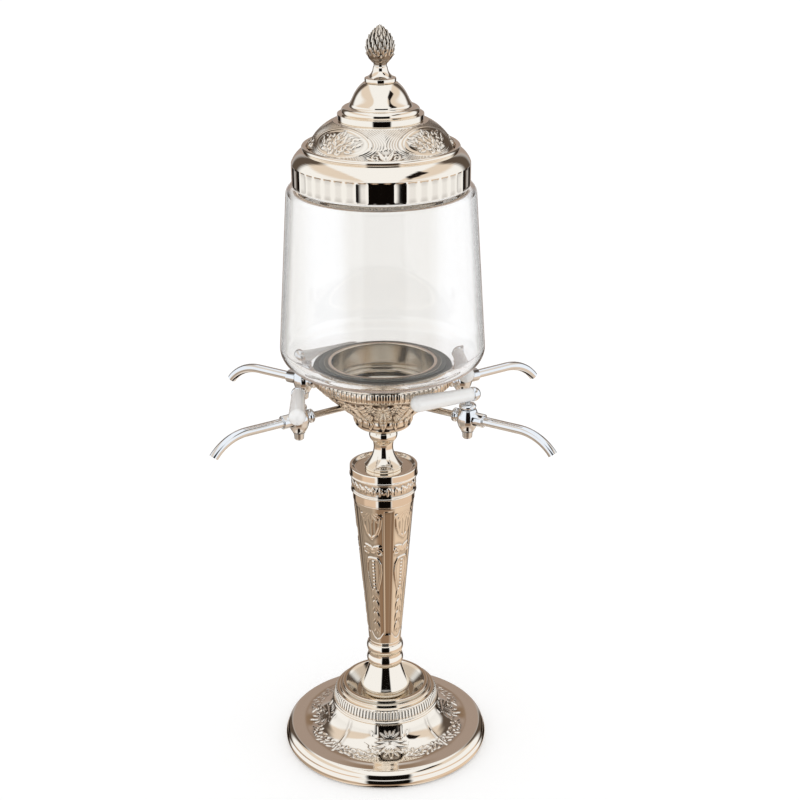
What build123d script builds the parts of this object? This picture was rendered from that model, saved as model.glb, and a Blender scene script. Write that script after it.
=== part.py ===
"""Table-top liquor dispenser: a glass jar on a tall stand with four plug taps and a lift-off lid.

Millimetres. Origin at the centre of the rest pad's underside, +Z up, +X to the right of the front view.
"""
from build123d import *
from math import pi
import os

# Fits shared by all pieces
ROD_GAP = 0.2          # tie rod in a plain hole
THREAD_GAP = 0.05      # screwed or pushed fit
RUN_GAP = 0.05         # tapered plug in its bore
FACE_GAP = 0.1         # faces of a tap that slide on each other
SHELL_GAP = 1.0        # weight and pad inside the pressed base

# Weighted base
PAD_T = 2.0
BASE_R = 76.0
BASE_WALL = 1.6
BASE_FOOT_GAP = 0.8
BASE_BEAD_DEPTH = 1.2
LOW_BEAD_H = 6.6
HIGH_BEAD_H = 5.4
HIGH_BEAD_W = 3.6
RIM_W = 9.7
RIM_RISE = 1.4
DOME_H = 16.8
DOME_TOP_R = 39.2
DOME_FLAT = 0.35        # outer share of the dome's width that lies level
DOME_KNEE_OUT = 0.19    # share of its width outside the top where its flare steepens
DOME_KNEE_UP = 0.36     # share of its height at that knee
BAND_BEAD_H = 2.8
BAND_BEAD = 1.1
BAND_H = 8.4
BAND_TAPER = 2.2
STEP_W = 2.6
STEP_H = 2.4
LIP_W = 2.4
DISH_DEPTH = 8.0
DISH_MARGIN = 2.9
BOSS_MARGIN = 1.0
POCKET_MARGIN = 2.0
POCKET_ROOM = 3.4

# Tie rod and its nuts
ROD_R = 3.0
ROD_TAIL = 2.0
NUT_FLATS = 10.0
NUT_H = 5.0
NUT_CHAMFER = 0.4
WASHER_R = 9.0
WASHER_T = 1.6
SEAL_R = 8.0
SEAL_T = 1.5

# Stem, from the dish of the base up to the cup
FOOT_H = 24.5
FOOT_SEAT_R = 15.0
FOOT_R = 18.6
FOOT_SHOULDER_R = 18.3
FOOT_WAIST_R = 14.2
FOOT_TOP_R = 11.8
FOOT_BULGE_AT = 0.18
FOOT_SHOULDER_AT = 0.3
FOOT_WAIST_AT = 0.66
COLLAR_BEAD_H = 7.6
COLLAR_GAP_H = 2.7
COLLAR_SPIGOT_H = 2.6
COLLAR_R = 13.6
COLLAR_WAIST_R = 12.6
COLUMN_H = 116.0
COLUMN_LOW_R = 11.9
COLUMN_HIGH_R = 22.1
COLUMN_WALL = 2.2
END_T = 3.0
HEAD_H = 25.5
HEAD_STEP = 0.3
HEAD_FLARE = 2.0
HEAD_RING = 0.8
HEAD_LOW_BAND_H = 6.0
HEAD_HIGH_BAND_H = 5.6
HEAD_RING_H = 1.6
HEAD_LIP_W = 1.6
HEAD_DISH = 2.0
NECK_H = 29.8
NECK_FOOT_R = 13.8
NECK_FOOT_H = 2.4
NECK_WAIST_R = 7.0
NECK_WAIST_DROP = 5.0
NECK_BEAD_FOOT_R = 7.8
NECK_BEAD_R = 10.2
NECK_BEAD_H = 9.0
NECK_TOP_R = 8.4
NECK_FOOT_SLOPE = 0.88
NECK_BEAD_SLOPE = 0.35

# Cup under the jar
CUP_H = 45.2
CUP_FLOOR_T = 3.7
CUP_BOWL_R = 20.6
CUP_BOWL_H = 11.9
CUP_BOWL_BULGE = 1.4
CUP_STEP = 0.8
CUP_WALL = 2.2
CUP_FLARE_R = 34.4
CUP_FLOOR_R = 10.5
CUP_RIM_W = 11.3
CUP_BAND_H = 8.0
CUP_BAND_BULGE = 0.8
THROAT_R = 38.3
THROAT_H = 12.7
LEDGE_W = 3.3
WELL_RING_T = 1.2
WELL_RING_R = 28.0
WELL_LIP = 1.0
CLAMP_WALL = 2.1
CLAMP_FLANGE_W = 3.1
CLAMP_FLANGE_T = 1.2
CLAMP_FLANGE_FILLET = 0.5
CLAMP_GASKET_W = 6.2
CLAMP_GASKET_T = 0.8
JAR_GASKET_T = 1.5

# Glass jar
JAR_H = 144.5
JAR_WALL = 3.4
JAR_FLOOR_T = 3.2
JAR_TAPER = 7.8
JAR_HEEL_RISE = 7.2
JAR_HEEL_FILLET = 13.0
JAR_SHOULDER_W = 7.2
JAR_SHOULDER_FILLET = 6.5
JAR_NECK_R = 57.2
JAR_NECK_H = 12.3
JAR_SHOULDER_RISE = 1.4
JAR_RIM_FILLET = 1.2

# Lid
LID_PLAY = 2.0
LID_FOOT_GAP = 0.2
LID_WALL = 1.2
LID_FLUTES = 46
LID_FLUTE_DEPTH = 0.6
LID_SEAL_T = 1.5
LID_SEAL_W = 5.0
LID_SHOULDER_H = 9.0
LID_SHOULDER_W = 7.9
LID_SHOULDER_BULGE = 1.2
LID_LIP = 2.6
LID_DOME_H = 19.2
LID_DOME_CROWN = 2.6
LID_DOME_TOP_R = 30.6
LID_SEAT_W = 2.6
CAP_MARGIN = 1.6
CAP_BAND_H = 4.2
CAP_CUSHION_IN = 3.2
CAP_CUSHION_H = 4.6
CAP_CUSHION_BULGE = 1.65
CAP_COVE_H = 2.0
CAP_COVE_W = 2.4
CAP_COVE_DEPTH = 0.8
CAP_BELL_IN = 5.0
CAP_BELL_H = 13.6
CAP_BELL_FLARE = 3.2
CAP_BELL_FLARE_AT = 0.44
CAP_BELL_FOOT_SLOPE = 1.3
CAP_BELL_TOP_SLOPE = 0.8
CAP_TOP_MARGIN = 0.8
CAP_TOP_T = 2.4
FINIAL_FOOT_R = 10.5
FINIAL_FOOT_H = 3.0
FINIAL_NECK_R = 4.9
FINIAL_NECK_H = 10.6
FINIAL_NECK_HOLLOW = 1.7
FINIAL_CONE_FOOT = 1.5
FINIAL_CONE_FOOT_H = 2.4
FINIAL_CONE_R = 9.8
FINIAL_CONE_H = 24.4
CONE_BELLY_AT = 0.3
CONE_SHOULDER_AT = 0.76
CONE_SHOULDER_R = 6.6
CONE_FOOT_SLOPE = 0.5
CONE_TIP_SLOPE = 0.4
STUD_R = 2.5
STUD_TAIL = 2.0
LID_NUT_FLATS = 8.0
LID_NUT_H = 4.0
LID_WASHER_R = 7.0
LID_WASHER_T = 1.2

# Taps
TAP_AZIMUTH = 33.5
TAP_STANDOFF = 19.9
TAP_DROP = 9.3
TAP_BODY_R = 7.4
TAP_TOP_WALL = 1.6
TAP_TOP_H = 6.6
TAP_TAIL_WALL = 1.3
TAP_TAIL_H = 9.2
SHANK_R = 2.3
SHANK_SINK = 5.5
SHANK_WALL = 0.8
SHANK_FLANGE_R = 4.8
SHANK_FLANGE_T = 1.8
SHANK_FLANGE_OUT = 10.4
SHANK_SOCKET_R = 3.9
BARREL_WALL = 1.5
BARREL_OUT = 13.0
SOCKET_DEPTH = 4.5
SPOUT_R = 3.2
SPOUT_WALL = 1.0
SPOUT_RUN = 40.5
SPOUT_BEND_R = 33.0
SPOUT_BEND = 52.0
FLOW_BORE_R = 2.0
PLUG_TOP_R = 4.2
PLUG_TAIL_R = 3.2
PLUG_COLLAR_BULGE = 1.7
PLUG_COLLAR_H = 3.6
PLUG_NECK_R = 2.0
PLUG_STUD_R = 2.0
PLUG_WASHER_R = 4.2
PLUG_WASHER_T = 0.8
PLUG_NUT_R = 3.7
PLUG_NUT_H = 5.1
PLUG_NUT_TAPER = 0.4
PLUG_NUT_FLOOR = 0.8
LEVER_NECK_H = 1.7
LEVER_ANGLE = -122.0
GRIP_BUTT = 3.0
GRIP_LENGTH = 43.0
GRIP_ROOT_R = 4.5
GRIP_R = 5.75
GRIP_ROUND = 5.5
GRIP_BORE_ROOM = 3.0
LEVER_BALL_R = 5.0
LEVER_BALL_SET = 1.4
LEVER_PIN_R = 1.0
LEVER_PIN_SHORT = 10.0

# Levels up the axis
Z_RIM = BASE_FOOT_GAP
Z_BEAD = Z_RIM + LOW_BEAD_H
Z_RIM_TOP = Z_BEAD + HIGH_BEAD_H
Z_DOME = Z_RIM_TOP + RIM_RISE
Z_KNEE = Z_DOME + DOME_H * DOME_KNEE_UP
Z_DOME_TOP = Z_DOME + DOME_H
Z_BAND = Z_DOME_TOP + BAND_BEAD_H
Z_BAND_TOP = Z_BAND + BAND_H
Z_STEP = Z_BAND_TOP + STEP_H
Z_LIP = Z_STEP + STEP_H
Z_DISH = Z_LIP - DISH_DEPTH
Z_ROD = PAD_T + POCKET_ROOM
Z_BASE_NUT = Z_ROD + ROD_TAIL
Z_BASE_WASHER = Z_BASE_NUT + NUT_H
Z_POCKET = Z_BASE_WASHER + WASHER_T
Z_COLLAR = Z_DISH + FOOT_H
Z_COLUMN = Z_COLLAR + 2 * COLLAR_BEAD_H + COLLAR_GAP_H + COLLAR_SPIGOT_H
Z_HEAD = Z_COLUMN + COLUMN_H
Z_HEAD_TOP = Z_HEAD + HEAD_H
Z_NECK = Z_HEAD_TOP - HEAD_DISH
Z_CUP = Z_NECK + NECK_H
Z_CUP_FLOOR = Z_CUP + CUP_FLOOR_T
Z_CUP_NUT = Z_CUP_FLOOR + SEAL_T
Z_BOWL_TOP = Z_CUP + CUP_BOWL_H
Z_CUP_RIM = Z_CUP + CUP_H
Z_LEDGE = Z_CUP_RIM - THROAT_H
Z_WELL = Z_LEDGE + WELL_RING_T
Z_TAP = Z_LEDGE - TAP_DROP
Z_JAR = Z_CUP_RIM + JAR_GASKET_T
Z_JAR_FLOOR = Z_JAR + JAR_FLOOR_T
Z_FLANGE = Z_JAR_FLOOR + CLAMP_GASKET_T
Z_JAR_RIM = Z_JAR + JAR_H
Z_SHOULDER = Z_JAR_RIM - JAR_NECK_H
Z_SKIRT = Z_SHOULDER + LID_FOOT_GAP
Z_LID = Z_JAR_RIM + LID_SEAL_T
Z_LID_SEAT = Z_LID + LID_WALL + LID_SHOULDER_H
Z_CAP = Z_LID_SEAT + LID_DOME_H
Z_CUSHION = Z_CAP + CAP_BAND_H
Z_COVE = Z_CUSHION + CAP_CUSHION_H
Z_BELL = Z_COVE + CAP_COVE_H
Z_FINIAL = Z_BELL + CAP_BELL_H
Z_ROOF = Z_FINIAL - CAP_TOP_T
Z_LID_WASHER = Z_ROOF - LID_WASHER_T
Z_LID_NUT = Z_LID_WASHER - LID_NUT_H

# Radii that neighbours share
RIM_OUTER_R = BASE_R - BASE_BEAD_DEPTH - HIGH_BEAD_W
RIM_INNER_R = RIM_OUTER_R - RIM_W
LEVEL_R = RIM_INNER_R - DOME_FLAT * (RIM_INNER_R - DOME_TOP_R)
KNEE_R = DOME_TOP_R + DOME_KNEE_OUT * (RIM_INNER_R - DOME_TOP_R)
BAND_TOP_R = DOME_TOP_R - BAND_TAPER
STEP_R = BAND_TOP_R - STEP_W
LIP_R = STEP_R - LIP_W
DISH_R = FOOT_R + DISH_MARGIN
BOSS_R = FOOT_SEAT_R + BOSS_MARGIN
POCKET_R = WASHER_R + POCKET_MARGIN
ROD_HOLE_R = ROD_R + ROD_GAP
NUT_HOLE_R = ROD_R + THREAD_GAP
HEAD_LOW_R = COLUMN_HIGH_R + HEAD_STEP
HEAD_HIGH_R = HEAD_LOW_R + HEAD_FLARE
CUP_RIM_R = THROAT_R + CUP_RIM_W
CUP_EDGE_R = CUP_RIM_R - CUP_BAND_BULGE
TAP_REACH = CUP_RIM_R + TAP_STANDOFF
CLAMP_R = THROAT_R - ROD_GAP
CLAMP_BORE_R = CLAMP_R - CLAMP_WALL
JAR_HOLE_R = THROAT_R + ROD_GAP
JAR_SHOULDER_R = JAR_NECK_R + JAR_SHOULDER_W
JAR_HEEL_R = JAR_SHOULDER_R + JAR_TAPER
LID_INNER_R = JAR_NECK_R + LID_PLAY
LID_R = LID_INNER_R + LID_WALL
LID_LIP_R = LID_R - LID_SHOULDER_W
DOME_R = LID_LIP_R - LID_LIP
CAP_R = LID_DOME_TOP_R - CAP_MARGIN
CAP_CUSHION_R = CAP_R - CAP_CUSHION_IN
CAP_BELL_R = CAP_CUSHION_R - CAP_BELL_IN
CAP_TOP_R = FINIAL_FOOT_R + CAP_TOP_MARGIN
STUD_HOLE_R = STUD_R + THREAD_GAP
TAP_TOP_R = PLUG_TOP_R + TAP_TOP_WALL
TAP_TAIL_R = PLUG_TAIL_R + TAP_TAIL_WALL
BARREL_R = SPOUT_R + BARREL_WALL
PLUG_STUD_HOLE_R = PLUG_STUD_R + THREAD_GAP

# Heights above and below the axis of a tap's flow, and lengths along its lever
COLLAR_RISE = TAP_TOP_H + FACE_GAP
COLLAR_TOP = COLLAR_RISE + PLUG_COLLAR_H
LEVER_RISE = COLLAR_TOP + LEVER_NECK_H + GRIP_ROOT_R
NECK_SINK = PLUG_NECK_R + LEVER_PIN_R / 2
PLUG_NUT_TOP = -TAP_TAIL_H - FACE_GAP - PLUG_WASHER_T
PLUG_NUT_FOOT = PLUG_NUT_TOP - PLUG_NUT_H
LEVER_PIN_LENGTH = GRIP_LENGTH - LEVER_PIN_SHORT
GRIP_BORE_DEPTH = LEVER_PIN_LENGTH + GRIP_BORE_ROOM

os.makedirs("parts", exist_ok=True)


def save(piece, name):
    """Label a finished piece and write its file under the same name."""
    piece.part.label = name
    export_step(piece.part, f"parts/{name}.step")


def disc(radius, hole, bottom, thick):
    """Flat ring about the axis: washers, gaskets and seals."""
    with BuildPart() as ring:
        with BuildSketch(Plane.XY.offset(bottom)):
            Circle(radius)
            if hole:
                Circle(hole, mode=Mode.SUBTRACT)
        extrude(amount=thick)
    return ring


def hex_nut(flats, hole, bottom, height):
    """Hexagon nut about the axis."""
    with BuildPart() as nut:
        with BuildSketch(Plane.XY.offset(bottom)):
            RegularPolygon(flats / 2, 6, major_radius=False)
            Circle(hole, mode=Mode.SUBTRACT)
        extrude(amount=height)
        chamfer(nut.faces().sort_by(Axis.Z)[0].outer_wire().edges(), NUT_CHAMFER)
        chamfer(nut.faces().sort_by(Axis.Z)[-1].outer_wire().edges(), NUT_CHAMFER)
    return nut


# Rest pad: a full felt disc inside the rolled rim
pad_r = BASE_R - BASE_BEAD_DEPTH - BASE_WALL - SHELL_GAP
save(disc(pad_r, 0, 0, PAD_T), "base_pad")

# Pressed base: beaded rim, flat rim, flaring dome, reeded band, two steps, lip and dish
with BuildPart() as base_shell:
    with BuildSketch(Plane.XZ):
        with BuildLine():
            rim_edge = (BASE_R - BASE_BEAD_DEPTH, Z_RIM)
            bead_line = (BASE_R - BASE_BEAD_DEPTH, Z_BEAD)
            rim_top = (RIM_OUTER_R, Z_RIM_TOP)
            field = (RIM_INNER_R, Z_DOME)
            level_edge = (LEVEL_R, Z_DOME)
            knee = (KNEE_R, Z_KNEE)
            field_top = (DOME_TOP_R, Z_DOME_TOP)
            ThreePointArc(rim_edge, (BASE_R, (Z_RIM + Z_BEAD) / 2), bead_line)
            RadiusArc(bead_line, rim_top, -HIGH_BEAD_H)
            Line(rim_top, field)
            Line(field, level_edge)
            flare = TangentArc(level_edge, knee, tangent=(-1, 0))
            TangentArc(knee, field_top, tangent=flare % 1)
            SagittaArc(field_top, (DOME_TOP_R, Z_BAND), -BAND_BEAD)
            Polyline(
                (DOME_TOP_R, Z_BAND),
                (BAND_TOP_R, Z_BAND_TOP),
                (STEP_R, Z_BAND_TOP),
                (STEP_R, Z_STEP),
                (LIP_R, Z_STEP),
                (LIP_R, Z_LIP),
                (LIP_R - LIP_W, Z_LIP),
                (DISH_R, Z_DISH),
                (ROD_HOLE_R, Z_DISH),
            )
            offset(amount=BASE_WALL, side=Side.LEFT)
        make_face()
    revolve(axis=Axis.Z)
save(base_shell, "base_shell")

# Cast weight: fills the base under the dome and carries the dish
with BuildPart() as base_weight:
    weight_r = RIM_OUTER_R - BASE_WALL - SHELL_GAP
    weight_top = Z_RIM_TOP - BASE_WALL - SHELL_GAP
    weight_inset = BASE_WALL + 3 * SHELL_GAP
    with BuildSketch(Plane.XZ):
        with BuildLine():
            Polyline(
                (ROD_HOLE_R, Z_POCKET),
                (POCKET_R, Z_POCKET),
                (POCKET_R, PAD_T),
                (weight_r, PAD_T),
                (weight_r, weight_top),
                (LEVEL_R - weight_inset, weight_top),
                (KNEE_R - weight_inset, Z_KNEE - 3 * SHELL_GAP),
                (DOME_TOP_R - weight_inset, weight_top + DOME_H - SHELL_GAP),
                (BOSS_R, weight_top + DOME_H - SHELL_GAP),
                (BOSS_R, Z_DISH - BASE_WALL),
                (ROD_HOLE_R, Z_DISH - BASE_WALL),
                close=True,
            )
        make_face()
    revolve(axis=Axis.Z)
save(base_weight, "base_weight")

# Tie rod with its lower nut and washer in the weight's pocket
save(disc(WASHER_R, ROD_HOLE_R, Z_BASE_WASHER, WASHER_T), "base_washer")
save(hex_nut(NUT_FLATS, NUT_HOLE_R, Z_BASE_NUT, NUT_H), "base_nut")
save(disc(ROD_R, 0, Z_ROD, Z_CUP_NUT + NUT_H + ROD_TAIL - Z_ROD), "tie_rod")
save(disc(SEAL_R, ROD_HOLE_R, Z_CUP_FLOOR, SEAL_T), "cup_seal")
save(hex_nut(NUT_FLATS, NUT_HOLE_R, Z_CUP_NUT, NUT_H), "cup_nut")

# Bell-shaped foot of the stem
with BuildPart() as stem_foot:
    with BuildSketch(Plane.XZ):
        with BuildLine():
            seat_edge = (FOOT_SEAT_R, Z_DISH)
            shoulder = (FOOT_SHOULDER_R, Z_DISH + FOOT_H * FOOT_SHOULDER_AT)
            throat = (FOOT_TOP_R, Z_COLLAR)
            ThreePointArc(seat_edge, (FOOT_R, Z_DISH + FOOT_H * FOOT_BULGE_AT), shoulder)
            Spline(shoulder, (FOOT_WAIST_R, Z_DISH + FOOT_H * FOOT_WAIST_AT), throat)
            Polyline(throat, (ROD_HOLE_R, Z_COLLAR), (ROD_HOLE_R, Z_DISH), seat_edge)
        make_face()
    revolve(axis=Axis.Z)
save(stem_foot, "stem_foot")

# Collar of two beads between foot and column
with BuildPart() as stem_collar:
    with BuildSketch(Plane.XZ):
        with BuildLine():
            foot = (COLLAR_WAIST_R, Z_COLLAR)
            low_top = (COLLAR_WAIST_R, Z_COLLAR + COLLAR_BEAD_H)
            high_foot = (COLLAR_WAIST_R, Z_COLLAR + COLLAR_BEAD_H + COLLAR_GAP_H)
            high_top = (COLLAR_WAIST_R, Z_COLUMN - COLLAR_SPIGOT_H)
            SagittaArc(foot, low_top, COLLAR_WAIST_R - COLLAR_R)
            Line(low_top, high_foot)
            SagittaArc(high_foot, high_top, COLLAR_WAIST_R - COLLAR_R)
            Polyline(
                high_top,
                (COLUMN_LOW_R, Z_COLUMN - COLLAR_SPIGOT_H),
                (COLUMN_LOW_R, Z_COLUMN),
                (ROD_HOLE_R, Z_COLUMN),
                (ROD_HOLE_R, Z_COLLAR),
                foot,
            )
        make_face()
    revolve(axis=Axis.Z)
save(stem_collar, "stem_collar")

# Tapered hollow column, closed at both ends round the rod
with BuildPart() as column:
    with BuildSketch(Plane.XZ):
        with BuildLine():
            Polyline(
                (ROD_HOLE_R, Z_COLUMN),
                (COLUMN_LOW_R, Z_COLUMN),
                (COLUMN_HIGH_R, Z_HEAD),
                (ROD_HOLE_R, Z_HEAD),
                (ROD_HOLE_R, Z_HEAD - END_T),
                (COLUMN_HIGH_R - COLUMN_WALL, Z_HEAD - END_T),
                (COLUMN_LOW_R - COLUMN_WALL, Z_COLUMN + END_T),
                (ROD_HOLE_R, Z_COLUMN + END_T),
                close=True,
            )
        make_face()
    revolve(axis=Axis.Z)
save(column, "column")

# Drum at the head of the column: plain band, ring, frieze, ring, plain band, dished top
with BuildPart() as column_head:
    with BuildSketch(Plane.XZ):
        with BuildLine():
            low_ring = Z_HEAD + HEAD_LOW_BAND_H
            high_ring = Z_HEAD_TOP - HEAD_HIGH_BAND_H - HEAD_RING_H
            frieze_r = (HEAD_LOW_R + HEAD_HIGH_R) / 2
            Line((HEAD_LOW_R, Z_HEAD), (HEAD_LOW_R, low_ring))
            SagittaArc((HEAD_LOW_R, low_ring), (frieze_r, low_ring + HEAD_RING_H), -HEAD_RING)
            Line((frieze_r, low_ring + HEAD_RING_H), (frieze_r, high_ring))
            SagittaArc((frieze_r, high_ring), (HEAD_HIGH_R, high_ring + HEAD_RING_H), -HEAD_RING)
            Polyline(
                (HEAD_HIGH_R, high_ring + HEAD_RING_H),
                (HEAD_HIGH_R, Z_HEAD_TOP),
                (HEAD_HIGH_R - HEAD_LIP_W, Z_HEAD_TOP),
                (HEAD_HIGH_R - HEAD_LIP_W - HEAD_DISH, Z_NECK),
                (ROD_HOLE_R, Z_NECK),
                (ROD_HOLE_R, Z_NECK - END_T),
                (HEAD_LOW_R - COLUMN_WALL - HEAD_DISH, Z_NECK - END_T),
                (HEAD_LOW_R - COLUMN_WALL - HEAD_DISH, Z_HEAD + END_T),
                (ROD_HOLE_R, Z_HEAD + END_T),
                (ROD_HOLE_R, Z_HEAD),
                (HEAD_LOW_R, Z_HEAD),
            )
        make_face()
    revolve(axis=Axis.Z)
save(column_head, "column_head")

# Baluster neck: spreading foot, slim waist, round bead under the cup
with BuildPart() as neck:
    with BuildSketch(Plane.XZ):
        with BuildLine():
            foot_top = (NECK_FOOT_R, Z_NECK + NECK_FOOT_H)
            waist = (NECK_WAIST_R, Z_CUP - NECK_BEAD_H - NECK_WAIST_DROP)
            bead_low = (NECK_BEAD_FOOT_R, Z_CUP - NECK_BEAD_H)
            bead_high = (NECK_TOP_R, Z_CUP)
            Polyline((ROD_HOLE_R, Z_CUP), (ROD_HOLE_R, Z_NECK), (NECK_FOOT_R, Z_NECK), foot_top)
            Spline(foot_top, waist, bead_low, tangents=((-1, NECK_FOOT_SLOPE), (NECK_BEAD_SLOPE, 1)))
            ThreePointArc(bead_low, (NECK_BEAD_R, Z_CUP - NECK_BEAD_H / 2), bead_high)
            Line(bead_high, (ROD_HOLE_R, Z_CUP))
        make_face()
    revolve(axis=Axis.Z)
save(neck, "neck")


def tap_level(azimuth):
    """Level plane on a tap's plug axis, its x pointing out along the spout."""
    out = Vector(1, 0, 0).rotate(Axis.Z, azimuth)
    return Plane(origin=out * TAP_REACH + Vector(0, 0, Z_TAP), x_dir=out, z_dir=(0, 0, 1))


def upright(level):
    """Vertical plane on a level plane's x, its y pointing up."""
    return Plane(origin=level.origin, x_dir=level.x_dir, z_dir=-level.y_dir)


def across(level, distance, rise=0.0):
    """Plane square to a level plane's x, that far along it and that far above it."""
    place = level.origin + level.x_dir * distance + level.z_dir * rise
    return Plane(origin=place, x_dir=level.y_dir, z_dir=level.x_dir)


TAPS = {
    "front_right": (-TAP_AZIMUTH, LEVER_ANGLE),
    "front_left": (180 + TAP_AZIMUTH, LEVER_ANGLE + 180),
    "rear_left": (180 - TAP_AZIMUTH, LEVER_ANGLE),
    "rear_right": (TAP_AZIMUTH, LEVER_ANGLE),
}

# Cup: round bowl, stepped flare, banded rim; inside, a threaded throat, a ledge and the water space
with BuildPart() as cup:
    with BuildSketch(Plane.XZ):
        with BuildLine():
            bowl_foot = (NECK_BEAD_R, Z_CUP)
            bowl_top = (CUP_BOWL_R, Z_BOWL_TOP)
            flare_foot = (CUP_BOWL_R + CUP_STEP, Z_BOWL_TOP)
            flare_top = (CUP_EDGE_R, Z_CUP_RIM - CUP_BAND_H)
            rim = (CUP_EDGE_R, Z_CUP_RIM)
            ledge = (THROAT_R - LEDGE_W, Z_LEDGE)
            floor_edge = (CUP_FLOOR_R, Z_CUP_FLOOR)
            SagittaArc(bowl_foot, bowl_top, -CUP_BOWL_BULGE)
            Line(bowl_top, flare_foot)
            ThreePointArc(flare_foot, (CUP_FLARE_R, Z_TAP), flare_top)
            SagittaArc(flare_top, rim, -CUP_BAND_BULGE)
            Polyline(rim, (THROAT_R, Z_CUP_RIM), (THROAT_R, Z_LEDGE), ledge)
            ThreePointArc(ledge, (CUP_BOWL_R - CUP_WALL, Z_BOWL_TOP), floor_edge)
            Polyline(floor_edge, (ROD_HOLE_R, Z_CUP_FLOOR), (ROD_HOLE_R, Z_CUP), bowl_foot)
        make_face()
    revolve(axis=Axis.Z)
    for azimuth, turn in TAPS.values():
        with BuildSketch(across(tap_level(azimuth), -TAP_REACH)):
            Circle(SHANK_R + THREAD_GAP)
        extrude(amount=TAP_REACH, mode=Mode.SUBTRACT)
save(cup, "cup")

# Ring with a raised lip that lies on the cup's ledge
with BuildPart() as well_ring:
    with BuildSketch(Plane.XY.offset(Z_LEDGE)):
        Circle(THROAT_R - ROD_GAP)
        Circle(WELL_RING_R, mode=Mode.SUBTRACT)
    extrude(amount=WELL_RING_T)
    with BuildSketch(Plane.XY.offset(Z_WELL)):
        Circle(WELL_RING_R + WELL_LIP)
        Circle(WELL_RING_R, mode=Mode.SUBTRACT)
    extrude(amount=WELL_LIP)
save(well_ring, "well_ring")

# Flanged clamp ring, screwed into the throat through the hole in the jar
with BuildPart() as clamp_ring:
    with BuildSketch(Plane.XY.offset(Z_WELL)):
        Circle(CLAMP_R)
        Circle(CLAMP_BORE_R, mode=Mode.SUBTRACT)
    extrude(amount=Z_FLANGE - Z_WELL)
    with BuildSketch(Plane.XY.offset(Z_FLANGE)):
        Circle(CLAMP_R + CLAMP_FLANGE_W)
        Circle(CLAMP_BORE_R, mode=Mode.SUBTRACT)
    extrude(amount=CLAMP_FLANGE_T)
    fillet(clamp_ring.faces().sort_by(Axis.Z)[-1].edges(), CLAMP_FLANGE_FILLET)
save(clamp_ring, "clamp_ring")

# Rubber gaskets under and over the floor of the jar
save(disc(CUP_EDGE_R, JAR_HOLE_R, Z_CUP_RIM, JAR_GASKET_T), "jar_gasket")
gasket_r = JAR_HOLE_R + CLAMP_GASKET_W
save(disc(gasket_r, JAR_HOLE_R, Z_JAR_FLOOR, CLAMP_GASKET_T), "clamp_gasket")

# Blown glass jar: holed floor, sloping heel, tapering wall, round shoulder, straight neck
with BuildPart() as jar:
    heel = Z_JAR + JAR_HEEL_RISE
    shoulder = Z_SHOULDER - JAR_SHOULDER_RISE
    with BuildSketch(Plane.XZ):
        with BuildLine():
            outside = FilletPolyline(
                (JAR_HOLE_R, Z_JAR),
                (CUP_RIM_R, Z_JAR),
                (JAR_HEEL_R, heel),
                (JAR_SHOULDER_R, shoulder),
                (JAR_NECK_R, Z_SHOULDER),
                (JAR_NECK_R, Z_JAR_RIM),
                radius=[JAR_WALL, JAR_HEEL_FILLET, JAR_SHOULDER_FILLET, JAR_RIM_FILLET],
            )
            inside = FilletPolyline(
                (JAR_HOLE_R, Z_JAR_FLOOR),
                (CUP_RIM_R, Z_JAR_FLOOR),
                (JAR_HEEL_R - JAR_WALL, heel + JAR_FLOOR_T),
                (JAR_SHOULDER_R - JAR_WALL, shoulder - JAR_WALL),
                (JAR_NECK_R - JAR_WALL, Z_SHOULDER - JAR_WALL),
                (JAR_NECK_R - JAR_WALL, Z_JAR_RIM),
                radius=[JAR_WALL, JAR_HEEL_FILLET - JAR_WALL, JAR_SHOULDER_FILLET - JAR_WALL, JAR_WALL],
            )
            Line(outside @ 0, inside @ 0)
            Line(outside @ 1, inside @ 1)
        make_face()
    revolve(axis=Axis.Z)
    fillet(jar.faces().sort_by(Axis.Z)[-1].edges(), JAR_RIM_FILLET)
save(jar, "jar")

# Lid band: fluted skirt, seal ledge, hollow rounded shoulder and rolled lip with the dome's seat
with BuildPart() as lid_band:
    with BuildSketch(Plane.XZ):
        with BuildLine():
            skirt_top = Z_LID + LID_WALL / 2
            lip_foot = (LID_LIP_R, Z_LID_SEAT - LID_WALL / 2)
            lip_in = (DOME_R, Z_LID_SEAT + LID_LIP / 2)
            hollow_top = (LID_LIP_R - LID_WALL, Z_LID_SEAT - LID_WALL)
            hollow_foot = (LID_INNER_R - LID_WALL, Z_LID + LID_WALL)
            ledge_r = JAR_NECK_R - LID_SEAL_W
            Polyline((LID_INNER_R, Z_SKIRT), (LID_R, Z_SKIRT), (LID_R, skirt_top))
            SagittaArc((LID_R, skirt_top), lip_foot, -LID_SHOULDER_BULGE)
            ThreePointArc(lip_foot, ((LID_LIP_R + DOME_R) / 2, Z_LID_SEAT + LID_LIP), lip_in)
            Polyline(
                lip_in,
                (DOME_R, Z_LID_SEAT),
                (DOME_R - LID_SEAT_W, Z_LID_SEAT),
                (DOME_R - LID_SEAT_W, Z_LID_SEAT - LID_WALL),
                hollow_top,
            )
            SagittaArc(hollow_top, hollow_foot, LID_SHOULDER_BULGE)
            Polyline(
                hollow_foot,
                (ledge_r, Z_LID + LID_WALL),
                (ledge_r, Z_LID),
                (LID_INNER_R, Z_LID),
                (LID_INNER_R, Z_SKIRT),
            )
        make_face()
    revolve(axis=Axis.Z)
    flute_w = 2 * pi * LID_R / LID_FLUTES
    flute_r = flute_w * flute_w / (8 * LID_FLUTE_DEPTH) + LID_FLUTE_DEPTH / 2
    with BuildSketch(Plane.XY.offset(Z_SKIRT)):
        with PolarLocations(LID_R + flute_r - LID_FLUTE_DEPTH, LID_FLUTES):
            Circle(flute_r)
    extrude(amount=skirt_top - Z_SKIRT, mode=Mode.SUBTRACT)
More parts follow.
